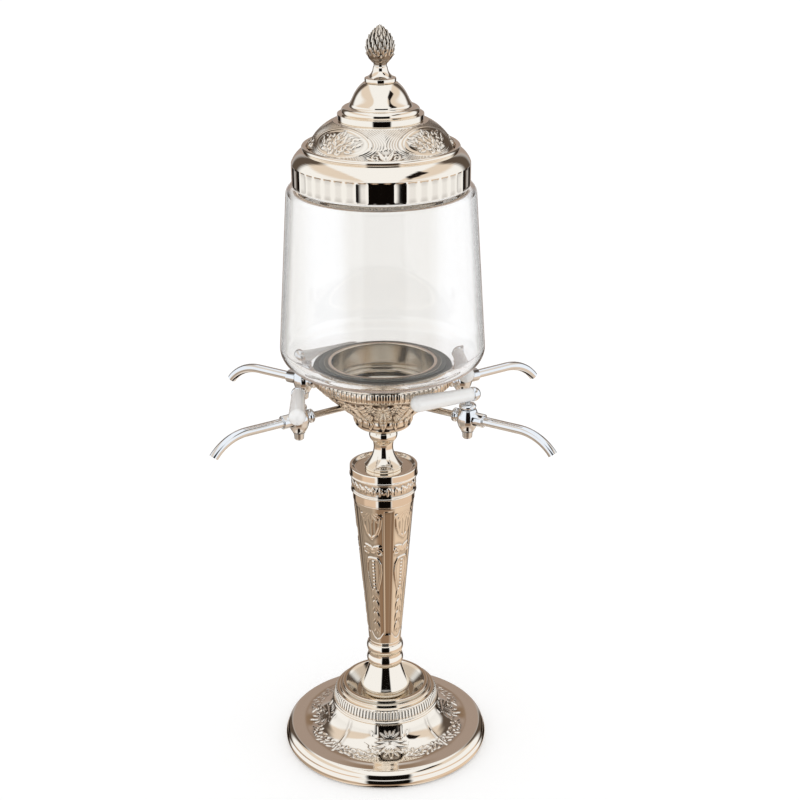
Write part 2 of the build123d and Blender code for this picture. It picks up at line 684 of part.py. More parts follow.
save(lid_band, "lid_band")

# Seal under the lid's ledge, resting on the rim of the jar
save(disc(JAR_NECK_R + LID_WALL, JAR_NECK_R - LID_SEAL_W, Z_JAR_RIM, LID_SEAL_T), "lid_seal")

# Domed middle of the lid
with BuildPart() as lid_dome:
    with BuildSketch(Plane.XZ):
        with BuildLine():
            dome_r = DOME_R - ROD_GAP
            dome_foot = (dome_r, Z_LID_SEAT)
            dome_top = (LID_DOME_TOP_R, Z_CAP)
            inner_foot = (dome_r - LID_WALL, Z_LID_SEAT)
            inner_top = (LID_DOME_TOP_R - LID_WALL / 2, Z_CAP - LID_WALL)
            hole_r = LID_DOME_TOP_R - 3 * LID_WALL
            SagittaArc(dome_foot, dome_top, -LID_DOME_CROWN)
            Polyline(dome_top, (hole_r, Z_CAP), (hole_r, Z_CAP - LID_WALL), inner_top)
            SagittaArc(inner_top, inner_foot, LID_DOME_CROWN)
            Line(inner_foot, dome_foot)
        make_face()
    revolve(axis=Axis.Z)
save(lid_dome, "lid_dome")

# Cap of the lid: upright band, cushion, cove and bell, closed at the top round the stud
with BuildPart() as lid_cap:
    with BuildSketch(Plane.XZ):
        with BuildLine():
            cushion_foot = (CAP_CUSHION_R, Z_CUSHION)
            cushion_top = (CAP_BELL_R + CAP_COVE_W, Z_COVE)
            bell_foot = (CAP_BELL_R, Z_BELL)
            bell_top = (CAP_TOP_R, Z_FINIAL)
            Polyline((CAP_R - LID_WALL, Z_CAP), (CAP_R, Z_CAP), (CAP_R, Z_CUSHION), cushion_foot)
            SagittaArc(cushion_foot, cushion_top, -CAP_CUSHION_BULGE)
            SagittaArc(cushion_top, bell_foot, CAP_COVE_DEPTH)
            Spline(
                bell_foot,
                (CAP_BELL_R - CAP_BELL_FLARE, Z_BELL + CAP_BELL_H * CAP_BELL_FLARE_AT),
                bell_top,
                tangents=((-1, CAP_BELL_FOOT_SLOPE), (-1, CAP_BELL_TOP_SLOPE)),
            )
            Polyline(
                bell_top,
                (STUD_HOLE_R, Z_FINIAL),
                (STUD_HOLE_R, Z_ROOF),
                (CAP_TOP_R - LID_WALL, Z_ROOF),
                (CAP_BELL_R - 3 * LID_WALL, Z_BELL),
                (CAP_BELL_R - LID_WALL, Z_CUSHION),
                (CAP_R - LID_WALL, Z_CUSHION - LID_WALL),
                (CAP_R - LID_WALL, Z_CAP),
            )
        make_face()
    revolve(axis=Axis.Z)
save(lid_cap, "lid_cap")

# Pine-cone finial with its stud, held by a washer and nut under the cap
with BuildPart() as finial:
    with BuildSketch(Plane.XZ):
        with BuildLine():
            z_neck = Z_FINIAL + FINIAL_NECK_H
            z_cone = z_neck + FINIAL_CONE_FOOT_H
            z_tip = z_cone + FINIAL_CONE_H
            stud_end = Z_LID_NUT - STUD_TAIL
            neck_foot = (FINIAL_FOOT_R, Z_FINIAL + FINIAL_FOOT_H)
            neck_top = (FINIAL_NECK_R, z_neck)
            cone_foot = (FINIAL_NECK_R + FINIAL_CONE_FOOT, z_cone)
            Polyline(
                (0, z_tip),
                (0, stud_end),
                (STUD_R, stud_end),
                (STUD_R, Z_FINIAL),
                (FINIAL_FOOT_R, Z_FINIAL),
                neck_foot,
            )
            SagittaArc(neck_foot, neck_top, FINIAL_NECK_HOLLOW)
            Line(neck_top, cone_foot)
            Spline(
                cone_foot,
                (FINIAL_CONE_R, z_cone + FINIAL_CONE_H * CONE_BELLY_AT),
                (CONE_SHOULDER_R, z_cone + FINIAL_CONE_H * CONE_SHOULDER_AT),
                (0, z_tip),
                tangents=((1, CONE_FOOT_SLOPE), (-1, CONE_TIP_SLOPE)),
            )
        make_face()
    revolve(axis=Axis.Z)
save(finial, "finial")
save(disc(LID_WASHER_R, STUD_HOLE_R, Z_LID_WASHER, LID_WASHER_T), "lid_washer")
save(hex_nut(LID_NUT_FLATS, STUD_HOLE_R, Z_LID_NUT, LID_NUT_H), "lid_nut")


def tap_body(level):
    """Valve body with its shank into the cup, its spout socket and its tapered bore."""
    shank_length = TAP_REACH - CUP_FLARE_R + SHANK_SINK
    with BuildPart() as body:
        with BuildSketch(upright(level)):
            with BuildLine():
                top = (TAP_TOP_R, TAP_TOP_H)
                tail = (TAP_TAIL_R, -TAP_TAIL_H)
                ThreePointArc(top, (TAP_BODY_R, 0), tail)
                Polyline(tail, (0, -TAP_TAIL_H), (0, TAP_TOP_H), top)
            make_face()
        revolve(axis=Axis(level.origin, level.z_dir))
        with BuildSketch(across(level, 0)):
            Circle(BARREL_R)
        extrude(amount=BARREL_OUT)
        with BuildSketch(across(level, -SHANK_FLANGE_OUT)):
            Circle(SHANK_SOCKET_R)
        extrude(amount=SHANK_FLANGE_OUT)
        with BuildSketch(across(level, -SHANK_FLANGE_OUT)):
            Circle(SHANK_FLANGE_R)
        extrude(amount=SHANK_FLANGE_T)
        with BuildSketch(across(level, -shank_length)):
            Circle(SHANK_R)
        extrude(amount=shank_length)
        with BuildSketch(across(level, -shank_length)):
            Circle(SHANK_R - SHANK_WALL)
        extrude(amount=shank_length + BARREL_OUT, mode=Mode.SUBTRACT)
        with BuildSketch(across(level, 0)):
            Circle(FLOW_BORE_R)
        extrude(amount=BARREL_OUT, mode=Mode.SUBTRACT)
        with BuildSketch(across(level, BARREL_OUT - SOCKET_DEPTH)):
            Circle(SPOUT_R + THREAD_GAP)
        extrude(amount=SOCKET_DEPTH, mode=Mode.SUBTRACT)
        with BuildSketch(upright(level)):
            with BuildLine():
                Polyline(
                    (0, -TAP_TAIL_H),
                    (PLUG_TAIL_R + RUN_GAP, -TAP_TAIL_H),
                    (PLUG_TOP_R + RUN_GAP, TAP_TOP_H),
                    (0, TAP_TOP_H),
                    close=True,
                )
            make_face()
        revolve(axis=Axis(level.origin, level.z_dir), mode=Mode.SUBTRACT)
    return body


def tap_spout(level):
    """Spout tube: a level run out of the socket and a bend down to the open tip."""
    start = BARREL_OUT - SOCKET_DEPTH
    with BuildPart() as spout:
        with BuildLine(upright(level)):
            run = Line((start, 0), (SPOUT_RUN, 0))
            JernArc(run @ 1, run % 1, SPOUT_BEND_R, -SPOUT_BEND)
        with BuildSketch(across(level, start)):
            Circle(SPOUT_R)
            Circle(SPOUT_R - SPOUT_WALL, mode=Mode.SUBTRACT)
        sweep()
    return spout


def tap_plug(level, lever):
    """Tapered plug with its cross bore, collar, neck and the stud for its nut."""
    stud_end = PLUG_NUT_FOOT + PLUG_NUT_FLOOR + FACE_GAP
    neck_top = LEVER_RISE + NECK_SINK
    with BuildPart() as plug:
        with BuildSketch(upright(level)):
            with BuildLine():
                Polyline(
                    (PLUG_NECK_R, COLLAR_TOP),
                    (PLUG_NECK_R, neck_top),
                    (0, neck_top),
                    (0, stud_end),
                    (PLUG_STUD_R, stud_end),
                    (PLUG_STUD_R, -TAP_TAIL_H),
                    (PLUG_TAIL_R, -TAP_TAIL_H),
                    (PLUG_TOP_R, TAP_TOP_H),
                    (PLUG_TOP_R, COLLAR_RISE),
                )
                SagittaArc((PLUG_TOP_R, COLLAR_RISE), (PLUG_TOP_R, COLLAR_TOP), -PLUG_COLLAR_BULGE)
                Line((PLUG_TOP_R, COLLAR_TOP), (PLUG_NECK_R, COLLAR_TOP))
            make_face()
        revolve(axis=Axis(level.origin, level.z_dir))
        with BuildSketch(upright(level)):
            Circle(FLOW_BORE_R)
        extrude(amount=PLUG_TOP_R + FACE_GAP, both=True, mode=Mode.SUBTRACT)
        with BuildSketch(across(lever, -PLUG_NECK_R, LEVER_RISE)):
            Circle(LEVER_PIN_R + THREAD_GAP)
        extrude(amount=2 * PLUG_NECK_R, mode=Mode.SUBTRACT)
    return plug


def lever_grip(lever):
    """Porcelain grip: a tapered bar with a round end, bored for the pin and the plug's neck."""
    axle = Axis(lever.origin + lever.z_dir * LEVER_RISE, lever.x_dir)
    round_start = GRIP_LENGTH - GRIP_ROUND
    with BuildPart() as grip:
        with BuildSketch(upright(lever)):
            with BuildLine():
                butt = (-GRIP_BUTT, LEVER_RISE + GRIP_ROOT_R)
                brow = (round_start, LEVER_RISE + GRIP_R)
                end = (GRIP_LENGTH, LEVER_RISE)
                Polyline(end, (-GRIP_BUTT, LEVER_RISE), butt, brow)
                EllipticalCenterArc((round_start, LEVER_RISE), GRIP_ROUND, GRIP_R, arc_size=90)
            make_face()
        revolve(axis=axle)
        with BuildSketch(across(lever, -GRIP_BUTT, LEVER_RISE)):
            Circle(LEVER_PIN_R + ROD_GAP)
        extrude(amount=GRIP_BUTT + GRIP_BORE_DEPTH, mode=Mode.SUBTRACT)
        with BuildSketch(lever):
            Circle(PLUG_NECK_R + FACE_GAP)
        extrude(amount=LEVER_RISE + NECK_SINK + FACE_GAP, mode=Mode.SUBTRACT)
    return grip


def lever_pin(lever):
    """Ball-headed pin that runs through the plug's neck into the grip."""
    with BuildPart() as pin:
        with BuildSketch(upright(lever)):
            with BuildLine():
                face = -GRIP_BUTT
                centre = face - LEVER_BALL_SET
                ball_edge = (LEVER_BALL_R**2 - LEVER_BALL_SET**2) ** 0.5
                Polyline(
                    (centre - LEVER_BALL_R, LEVER_RISE),
                    (LEVER_PIN_LENGTH, LEVER_RISE),
                    (LEVER_PIN_LENGTH, LEVER_RISE + LEVER_PIN_R),
                    (face, LEVER_RISE + LEVER_PIN_R),
                    (face, LEVER_RISE + ball_edge),
                )
                ThreePointArc(
                    (face, LEVER_RISE + ball_edge),
                    (centre, LEVER_RISE + LEVER_BALL_R),
                    (centre - LEVER_BALL_R, LEVER_RISE),
                )
            make_face()
        revolve(axis=Axis(lever.origin + lever.z_dir * LEVER_RISE, lever.x_dir))
    return pin


def plug_washer(level):
    """Washer between the body's tail and the plug nut."""
    with BuildPart() as washer:
        with BuildSketch(level.offset(PLUG_NUT_TOP)):
            Circle(PLUG_WASHER_R)
            Circle(PLUG_STUD_HOLE_R, mode=Mode.SUBTRACT)
        extrude(amount=PLUG_WASHER_T)
    return washer


def plug_nut(level):
    """Closed nut on the plug's stud, slightly tapered to its rounded foot."""
    foot_r = PLUG_NUT_R - PLUG_NUT_TAPER
    floor = PLUG_NUT_FOOT + PLUG_NUT_FLOOR
    with BuildPart() as nut:
        with BuildSketch(upright(level)):
            with BuildLine():
                Polyline(
                    (PLUG_STUD_HOLE_R, PLUG_NUT_TOP),
                    (PLUG_NUT_R, PLUG_NUT_TOP),
                    (foot_r, floor),
                    (foot_r - PLUG_NUT_FLOOR, PLUG_NUT_FOOT),
                    (0, PLUG_NUT_FOOT),
                    (0, floor),
                    (PLUG_STUD_HOLE_R, floor),
                    close=True,
                )
            make_face()
        revolve(axis=Axis(level.origin, level.z_dir))
    return nut


# Four taps, each with its body, spout, plug, washer, nut, porcelain grip and ball-headed pin
for place, (azimuth, turn) in TAPS.items():
    level = tap_level(azimuth)
    lever = level.rotated((0, 0, turn))
    save(tap_body(level), f"tap_body_{place}")
    save(tap_spout(level), f"spout_{place}")
    save(tap_plug(level, lever), f"plug_{place}")
    save(plug_washer(level), f"plug_washer_{place}")
    save(plug_nut(level), f"plug_nut_{place}")
    save(lever_grip(lever), f"lever_grip_{place}")
    save(lever_pin(lever), f"lever_pin_{place}")
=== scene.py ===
"""Looks of a table fountain for spirits: plated stand and lid with chased ornament, glass jar, lever taps.

The scene is in metres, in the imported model's frame. Ornament is worked out in millimetres.
"""

import math
from functools import reduce

import bmesh
import bpy
import numpy as np
from bpy.props import FloatProperty, FloatVectorProperty, IntProperty, PointerProperty
from bpy.types import NodeSocket, Operator, Panel, PropertyGroup
from mathutils import Matrix, Vector


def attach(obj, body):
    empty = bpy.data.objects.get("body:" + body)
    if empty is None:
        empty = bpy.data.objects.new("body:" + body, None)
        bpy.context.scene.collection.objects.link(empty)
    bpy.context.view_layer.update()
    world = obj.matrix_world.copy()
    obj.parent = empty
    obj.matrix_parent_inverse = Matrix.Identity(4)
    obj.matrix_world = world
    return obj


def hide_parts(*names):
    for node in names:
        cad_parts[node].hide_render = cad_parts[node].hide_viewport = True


bl_info = {
    "name": "Table fountain",
    "version": (1, 0, 0),
    "blender": (4, 5, 0),
    "location": "3D View > Sidebar > Fountain",
    "description": "Plated stand, glass jar, domed lid and lever taps of a table fountain",
    "category": "Add Mesh",
}

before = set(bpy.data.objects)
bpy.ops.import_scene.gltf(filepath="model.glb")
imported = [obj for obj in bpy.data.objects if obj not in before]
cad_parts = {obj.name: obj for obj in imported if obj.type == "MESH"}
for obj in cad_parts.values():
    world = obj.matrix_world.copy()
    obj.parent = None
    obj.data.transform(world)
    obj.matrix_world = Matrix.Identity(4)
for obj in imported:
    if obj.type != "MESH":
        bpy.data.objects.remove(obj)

# Units and directions
MM = 0.001
FRONT = -math.pi / 2

# Taps: their places, and finishes of their fixed and turning nodes
PLACES = ("front_right", "front_left", "rear_left", "rear_right")
TAP_SLOTS = {"tap_body": "chrome", "spout": "chrome"}
PLUG_SLOTS = {"plug": "chrome", "plug_washer": "steel", "plug_nut": "chrome"}
PLUG_SLOTS.update({"lever_grip": "porcelain", "lever_pin": "chrome"})

# Smoothing: merge distance in metres, shortest step, turn of a corner, rounds of edges, sharp edges
MERGE = 1e-6
SHORTEST = 0.01
CORNER = math.radians(24)
EDGE_ROUND = 0.22
CONE_EDGE_ROUND = 1.1
EDGE_SHARE = 0.35
SHARP = math.radians(32)
FLUTE_EDGE = math.radians(14)

# Skin that carries ornament: its normal points outward or upward by more than this
OUTWARD = 0.02
UPWARD = 0.98

# Chased ground, darkened by tarnish and painted shade: depth at which it is dark, neighbours it is measured
# against, sunk depths from bright to dark
RECESS_DEPTH = 0.45
RECESS_REACH = 4
SUNK_DEPTHS = (0.4, 1.6)

# Turned pieces: longest step along the section and segments round the axis,
# and where ornament needs finer steps their lowest and highest level and length
GRAIN = {
    "base_shell": (1.2, 504, 14, 31.2, 0.45),
    "stem_foot": (0.6, 160),
    "stem_collar": (0.6, 160),
    "neck": (0.6, 160),
    "column": (4.0, 400, 84, 200, 0.7),
    "column_head": (1.2, 400, 203, 221, 0.4),
    "cup": (1.2, 480, 253.6, 290, 0.45),
    "well_ring": (0.8, 240),
    "clamp_ring": (0.8, 240),
    "jar": (1.5, 256),
    "lid_dome": (1.4, 720, 456, 475.6, 0.38),
    "lid_cap": (0.7, 240),
    "finial": (0.6, 120),
}

# Skirt of the lid: its steps, and segments to each flute
LID_BAND_STEP = 0.8
LID_BAND_FINE = (446.2, 447.2, 0.12)
FLUTE_SEGMENTS = 12

# Rings of half-round ribs: foot and top as (radius, height), width, rise, painted shade along the edges
RIBS = {
    "base_reeds": ((39.1, 34.2), (37.2, 41.6), 2.6, 0.8, 0.5),
    "cup_flutes": ((48.9, 290.6), (49.4, 297.8), 3.5, 0.9, 1.0),
    "clamp_teeth": ((41.0, 304.1), (41.0, 305.1), 1.6, 0.5, 1.0),
}
RIB_ROWS = ((0.0, 0.0), (0.06, 0.75), (0.2, 1.0), (0.8, 1.0), (0.94, 0.75), (1.0, 0.0))
RIB_COLUMNS = 7
RIB_SUNK = 0.15

# Leaves: fullness towards the foot, least half width, depth and width of the vein
LEAF_FULL = 0.75
LEAF_THIN = 1e-6
VEIN_DEPTH = 0.45
VEIN_WIDTH = 0.09

# Scrolls: points along them, and how far they wind in
SCROLL_POINTS = 22
SCROLL_WIND = 0.82

# Turn of the base's and the lid's ornament
ORNAMENT_TURN = math.radians(4)

# Scale of the pine cone: rows of (share of its length, half width, proud), then painted shade on back, edges
# and root
SCALE_ROWS = (
    (0.0, 1.2, 0.2),
    (0.2, 1.9, 0.5),
    (0.45, 2.0, 0.7),
    (0.7, 1.5, 0.8),
    (0.88, 0.8, 0.95),
    (1.0, 0.15, 1.1),
)
SCALE_LENGTH = 8.0
SCALE_ROOT = 0.3
SCALE_BACK = -0.7
SCALE_SPINE = 0.55
SCALE_SHADE = (1.0, 0.5, 0.4)

# Dull materials: name, dark and light colour, size and depth of the grain, shader values
GRAINED = {
    "rubber": ("rubber_moulded_grey", "#4E504C", "#5E605B", 1.5, 0.05, {"Roughness": 0.35}),
    "silicone": ("silicone_moulded_pale", "#DDDCD8", "#EAE9E6", 1.5, 0.05, {"Roughness": 0.4}),
    "steel": ("steel_turned", "#8F8F8E", "#B4B3B1", 2.0, 0.02, {"Metallic": 1.0, "Roughness": 0.3}),
    "iron": ("iron_cast", "#232324", "#3A3A3B", 1.2, 0.15, {"Metallic": 0.6, "Roughness": 0.6}),
    "felt": ("felt_pressed_wool", "#1C1C1F", "#303036", 0.6, 0.2, {"Roughness": 0.95}),
}

# Floor: its colour, and its lift where it is seen directly and through glass
FLOOR_COLOUR = "#E8E8E8"
FLOOR_LIFT = 0.24
FLOOR_LIFT_IN_GLASS = 0.2

# Studio that the metal mirrors: lit all round, with patches painted over it, each a colour and bounds.
# Two numbers fade a patch in from the first to the second, three set it between two with soft edges.
# azimuth and up are degrees, lean is the sideways slope from upright, aside and slant have no sign.
LIT = "#F4F9FF"
PATCHES = {
    "slanting walls": ("#E0D6CB", {"slant": (0.6, 0.75), "up": (24, 34)}),
    "gap at the right": ("#1A1411", {"lean": (0.6, 1.0, 0.06), "azimuth": (38, 80, 4), "up": (30, 38)}),
    "edge of the table": ("#DCC6B2", {"up": (-34, -19, 3), "aside": (24, 34)}),
    "edge at the left": ("#B9A593", {"azimuth": (-125, -78, 6), "up": (-34, -20, 3)}),
    "table": ("#C9BAAA", {"up": (-26, -34)}),
    "table at the left": ("#A39688", {"up": (-24, -32), "azimuth": (-36, -52)}),
    "table at the right": ("#E2CFBB", {"up": (-26, -34), "azimuth": (36, 52)}),
    "table in front": ("#8E745E", {"up": (-28, -36), "aside": (50, 22)}),
    "table near the foot": ("#CDB8A4", {"up": (-44, -52)}),
    "table under the foot": ("#EADFD3", {"up": (-58, -66)}),
    "shadow under the foot": ("#160E09", {"up": (-50, -58), "slant": (0.24, 0.16)}),
    "wall behind": ("#A2948C", {"aside": (150, 163), "up": (-30, 52, 3)}),
    "middle of that wall": ("#8A7664", {"aside": (168, 177), "up": (24, 52, 3)}),
    "corners behind": ("#584E46", {"aside": (128, 156, 7), "up": (-34, 46, 6)}),
    "feet of the corners": ("#17120F", {"aside": (134, 153, 4), "up": (-27, -5, 5)}),
    "camera": ("#0D0A08", {"azimuth": (-21, 27, 3), "up": (-33, 27, 4)}),
}

# Least rise in a lean, share of the studio that shows through glass, lift of what metal mirrors
FLATTEST = 0.05
STUDIO_IN_GLASS = 0.5
GLOSS_LIFT = 0.1

# Far limit of the camera in metres
CLIP_END = 100

# Colour sockets of a mix node
MIX_FIRST, MIX_SECOND, MIX_RESULT = 6, 7, 2

MATERIALS = {}


def linear(code):
    """Linear colour of an sRGB hex value."""
    parts = [int(code[i : i + 2], 16) / 255 for i in (1, 3, 5)]
    return [p / 12.92 if p <= 0.04045 else ((p + 0.055) / 1.055) ** 2.4 for p in parts]


def colour_setting(name, description, code):
    """A colour setting with an sRGB hex value as its default."""
    return FloatVectorProperty(name=name, description=description, subtype="COLOR", default=linear(code))


def angle_setting(name, description, degrees):
    """An angle setting with its default in degrees."""
    return FloatProperty(name=name, description=description, subtype="ANGLE", default=math.radians(degrees))


class FountainFinish(PropertyGroup):
    """Colours of the finishes."""

    nickel: colour_setting("Nickel", "Warm nickel plate", "#F5EBDD")
    # Tarnish with painted shade: the colour that the chased ground, the edges of ribs and the cone's scales
    # darken to
    patina_and_shade: colour_setting("Patina", "Darkened nickel in the chased ground", "#54402F")
    # Painted shade: grey that the well's walls, its flange under the jar and the dish round the stem's foot
    # darken to
    well: colour_setting("Well", "Nickel where water stands", "#807F76")
    chrome: colour_setting("Chrome", "Bright plate of the taps", "#F1F2F3")
    glass: colour_setting("Glass", "Clear glass of the jar", "#F8F7F5")
    porcelain: colour_setting("Porcelain", "White glaze of the grips", "#FBFAF8")


class FountainOrnament(PropertyGroup):
    """Counts and heights of the ornament."""

    relief: FloatProperty(name="Relief", description="Height of the chasing", default=1.0, min=0, max=1.5)
    reeds: IntProperty(name="Reeds", description="Reeds round the base's band", default=92, min=24)
    lid_flutes: IntProperty(name="Lid flutes", description="Flutes round the lid's skirt", default=46, min=12)
    cup_flutes: IntProperty(name="Cup flutes", description="Flutes round the cup's band", default=80, min=24)
    teeth: IntProperty(name="Teeth", description="Knurls round the clamp ring", default=110, min=24)
    scales: IntProperty(name="Scales", description="Scales on the pine cone", default=84, min=12)


class FountainStage(PropertyGroup):
    """Camera and floor."""

    camera: FloatVectorProperty(
        name="Camera", description="Place of the camera", unit="LENGTH", default=(0.0, -1.0852, 0.7029)
    )
    tilt: angle_setting("Tilt", "Look down", 21.539)
    heading: angle_setting("Heading", "Turn to the left", -0.636)
    roll: angle_setting("Roll", "Roll of the frame", -0.24)
    lens: FloatProperty(name="Lens", description="Focal length", unit="CAMERA", default=74.06)
    floor: FloatProperty(name="Floor", description="Half width of the floor", unit="LENGTH", default=12.0)


def add(tree, kind, inputs=None, **settings):
    """Add a node with its settings, and set or link its inputs by name or number."""
    node = tree.nodes.new(kind)
    for key, value in settings.items():
        setattr(node, key, value)
    for key, value in (inputs or {}).items():
        if isinstance(value, NodeSocket):
            tree.links.new(value, node.inputs[key])
        else:
            node.inputs[key].default_value = value
    return node


def maths(tree, kind, *values):
    """Result of a sum with values or sockets."""
    return add(tree, "ShaderNodeMath", dict(enumerate(values)), operation=kind).outputs["Value"]


def emptied(block):
    """Node tree of a material or world, without nodes."""
    block.use_nodes = True
    block.node_tree.nodes.clear()
    return block.node_tree


def new_material(name):
    """A material without nodes, and its tree."""
    material = bpy.data.materials.new(name)
    return material, emptied(material)


def principled(tree, **values):
    """Principled shader with values or sockets on its inputs."""
    inputs = {key.replace("_", " "): value for key, value in values.items()}
    return add(tree, "ShaderNodeBsdfPrincipled", inputs).outputs["BSDF"]


def show(tree, shader):
    """Let a material show a shader."""
    add(tree, "ShaderNodeOutputMaterial", {"Surface": shader})


def noise(tree, size, detail, stretch=(1.0, 1.0, 1.0)):
    """Noise over the object with features of a size in millimetres, stretched along its axes."""
    place = add(tree, "ShaderNodeTexCoord").outputs["Object"]
    scaled = add(tree, "ShaderNodeVectorMath", {0: place, 1: stretch}, operation="MULTIPLY").outputs["Vector"]
    given = {"Vector": scaled, "Scale": 1 / (size * MM), "Detail": detail}
    return add(tree, "ShaderNodeTexNoise", given).outputs["Fac"]


def spread(tree, source, low, high):
    """A 0 to 1 value spread between two others."""
    return add(tree, "ShaderNodeMapRange", {"Value": source, "To Min": low, "To Max": high}).outputs["Result"]


def mixed(tree, factor, first, second):
    """A colour between two, each a socket or a linear colour."""
    first, second = [c if isinstance(c, NodeSocket) else (*c, 1) for c in (first, second)]
    given = {"Factor": factor, MIX_FIRST: first, MIX_SECOND: second}
    return add(tree, "ShaderNodeMix", given, data_type="RGBA").outputs[MIX_RESULT]


def bump(tree, height, depth):
    """Normal of a bumpy skin of a depth in millimetres."""
    given = {"Height": height, "Distance": depth * MM, "Strength": 1.0}
    return add(tree, "ShaderNodeBump", given).outputs["Normal"]


def nickel_material(finish):
    """Warm nickel plate: bright on high parts, tarnish and painted shade in the chased ground, painted shade
    and dulling in the well and the dish.
    """
    material, tree = new_material("nickel_plate_polished")
    recess = add(tree, "ShaderNodeAttribute", attribute_name="recess").outputs["Fac"]
    dull_and_shade = add(tree, "ShaderNodeAttribute", attribute_name="dull_and_shade").outputs["Fac"]
    # Tarnish and painted shade darken the sunk ground; painted shade greys the well, its flange and the dish
    patina_shaded = mixed(tree, recess, finish.nickel, finish.patina_and_shade)
    tint = mixed(tree, dull_and_shade, patina_shaded, finish.well)
    rough = spread(tree, noise(tree, size=14, detail=3), low=0.03, high=0.07)
    for cause, dulling in ((recess, 0.1), (dull_and_shade, 0.3)):
        rough = maths(tree, "MULTIPLY_ADD", cause, dulling, rough)
    skin = bump(tree, noise(tree, size=9, detail=1), depth=0.008)
    show(tree, principled(tree, Base_Color=tint, Metallic=1.0, Roughness=rough, Normal=skin))
    return material


def chrome_material(finish):
    """Chrome plate on the taps: neutral, very smooth, with faint polishing waves."""
    material, tree = new_material("chrome_plate_polished")
    cloud = noise(tree, size=8, detail=2)
    tint = mixed(tree, cloud, finish.chrome, [0.9 * c for c in finish.chrome])
    rough = spread(tree, cloud, low=0.04, high=0.09)
    skin = bump(tree, noise(tree, size=6, detail=1), depth=0.008)
    show(tree, principled(tree, Base_Color=tint, Metallic=1.0, Roughness=rough, Normal=skin))
    return material


def glass_material(finish):
    """Blown glass with a faintly wavy skin and painted reflections: clear in two broad upright stripes, a
    shade greyer between them.

    Light that was mirrored often in its wall leaves straight on, which keeps the shoulder clear.
    """
    material, tree = new_material("glass_clear_blown")
    place = add(tree, "ShaderNodeTexCoord").outputs["Object"]
    side = add(tree, "ShaderNodeSeparateXYZ", {"Vector": place}).outputs["X"]
    # Painted reflection: two upright stripes, fixed to the jar's front, where the tint stays clear
    first, apart = -40 * MM, 92 * MM
    phase = maths(tree, "MULTIPLY_ADD", side, math.tau / apart, -math.tau * first / apart)
    given = {"Value": maths(tree, "COSINE", phase), "From Min": 0.35, "From Max": 0.8}
    reflection_stripe = add(tree, "ShaderNodeMapRange", given).outputs["Result"]
    tint = mixed(tree, reflection_stripe, finish.glass, (1.0, 1.0, 1.0))
    rough = spread(tree, noise(tree, size=20, detail=2), low=0.0, high=0.015)
    skin = bump(tree, noise(tree, size=18, detail=1, stretch=(1.0, 1.0, 0.15)), depth=0.05)
    clear = {"Transmission_Weight": 1.0, "IOR": 1.47}
    glass = principled(tree, Base_Color=tint, Roughness=rough, Normal=skin, **clear)
    mirrored = add(tree, "ShaderNodeLightPath").outputs["Glossy Depth"]
    often = 1.5
    late = maths(tree, "GREATER_THAN", mirrored, often)
    straight = add(tree, "ShaderNodeBsdfTransparent").outputs["BSDF"]
    show(tree, add(tree, "ShaderNodeMixShader", {0: late, 1: glass, 2: straight}).outputs["Shader"])
    return material


def porcelain_material(finish):
    """Porcelain: white body under a clear glaze that pools in slow waves."""
    material, tree = new_material("porcelain_glazed_white")
    pools = noise(tree, size=5, detail=3)
    tint = mixed(tree, pools, finish.porcelain, [0.94 * c for c in finish.porcelain])
    skin = bump(tree, noise(tree, size=7, detail=1), depth=0.02)
    glaze = {"Coat_Weight": 1.0, "Coat_Roughness": 0.03, "Roughness": 0.25}
    show(tree, principled(tree, Base_Color=tint, Normal=skin, **glaze))
    return material


def grained_material(name, dark, light, grain, depth, values):
    """A dull material with a grain of a size and depth in millimetres, between two colours."""
    material, tree = new_material(name)
    field = noise(tree, size=grain, detail=4)
    tint = mixed(tree, field, linear(dark), linear(light))
    show(tree, principled(tree, Base_Color=tint, Normal=bump(tree, field, depth), **values))
    return material


def finish_of(slot):
    """The material of a slot, made on its first use."""
    bright = {
        "nickel": nickel_material,
        "chrome": chrome_material,
        "glass": glass_material,
        "porcelain": porcelain_material,
    }
    if slot not in MATERIALS:
        if slot in bright:
            MATERIALS[slot] = bright[slot](bpy.context.scene.fountain_finish)
        else:
            MATERIALS[slot] = grained_material(*GRAINED[slot])
    return MATERIALS[slot]


def merged(mesh):
    """An editable copy of a mesh with its doubled points merged."""
    copy = bmesh.new()
    copy.from_mesh(mesh)
    bmesh.ops.remove_doubles(copy, verts=copy.verts, dist=MERGE)
    return copy


def placed(name, data):
    """A new object in the scene."""
    thing = bpy.data.objects.new(name, data)
    bpy.context.scene.collection.objects.link(thing)
    return thing


def outline(node, azimuth):
    """Section of a turned node at an azimuth as (radius, height) in millimetres, and whether it is closed.

    The solid lies to the left of the path.
    """
    cut = merged(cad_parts[node].data)
    along = Vector((math.cos(azimuth), math.sin(azimuth), 0))
    across = Vector((-along.y, along.x, 0))
    everything = [*cut.verts, *cut.edges, *cut.faces]
    bmesh.ops.bisect_plane(cut, geom=everything, dist=MERGE, plane_co=(0, 0, 0), plane_no=across)
    ways = {}
    for edge in cut.edges:
        if all(abs(v.co.dot(across)) < 2 * MERGE and v.co.dot(along) > -MERGE for v in edge.verts):
            first, second = edge.verts
            ways.setdefault(first, []).append(second)
            ways.setdefault(second, []).append(first)
    ends = [v for v in ways if len(ways[v]) == 1]
    here = min(ends or ways, key=lambda v: (v.co.z, v.co.dot(along)))
    path = [here]
    before = None
    while True:
        ahead = [v for v in ways[here] if v is not before and (v is path[0] or v not in path)]
        if not ahead or ahead[0] is path[0]:
            break
        before, here = here, ahead[0]
        path.append(here)
    points = np.array([(v.co.dot(along), v.co.z) for v in path]) / MM
    cut.free()
    closed = not ends
    ring = np.roll(points, -1, axis=0)
    if closed and np.sum(points[:, 0] * ring[:, 1] - ring[:, 0] * points[:, 1]) < 0:
        points = points[::-1]
    return points, closed


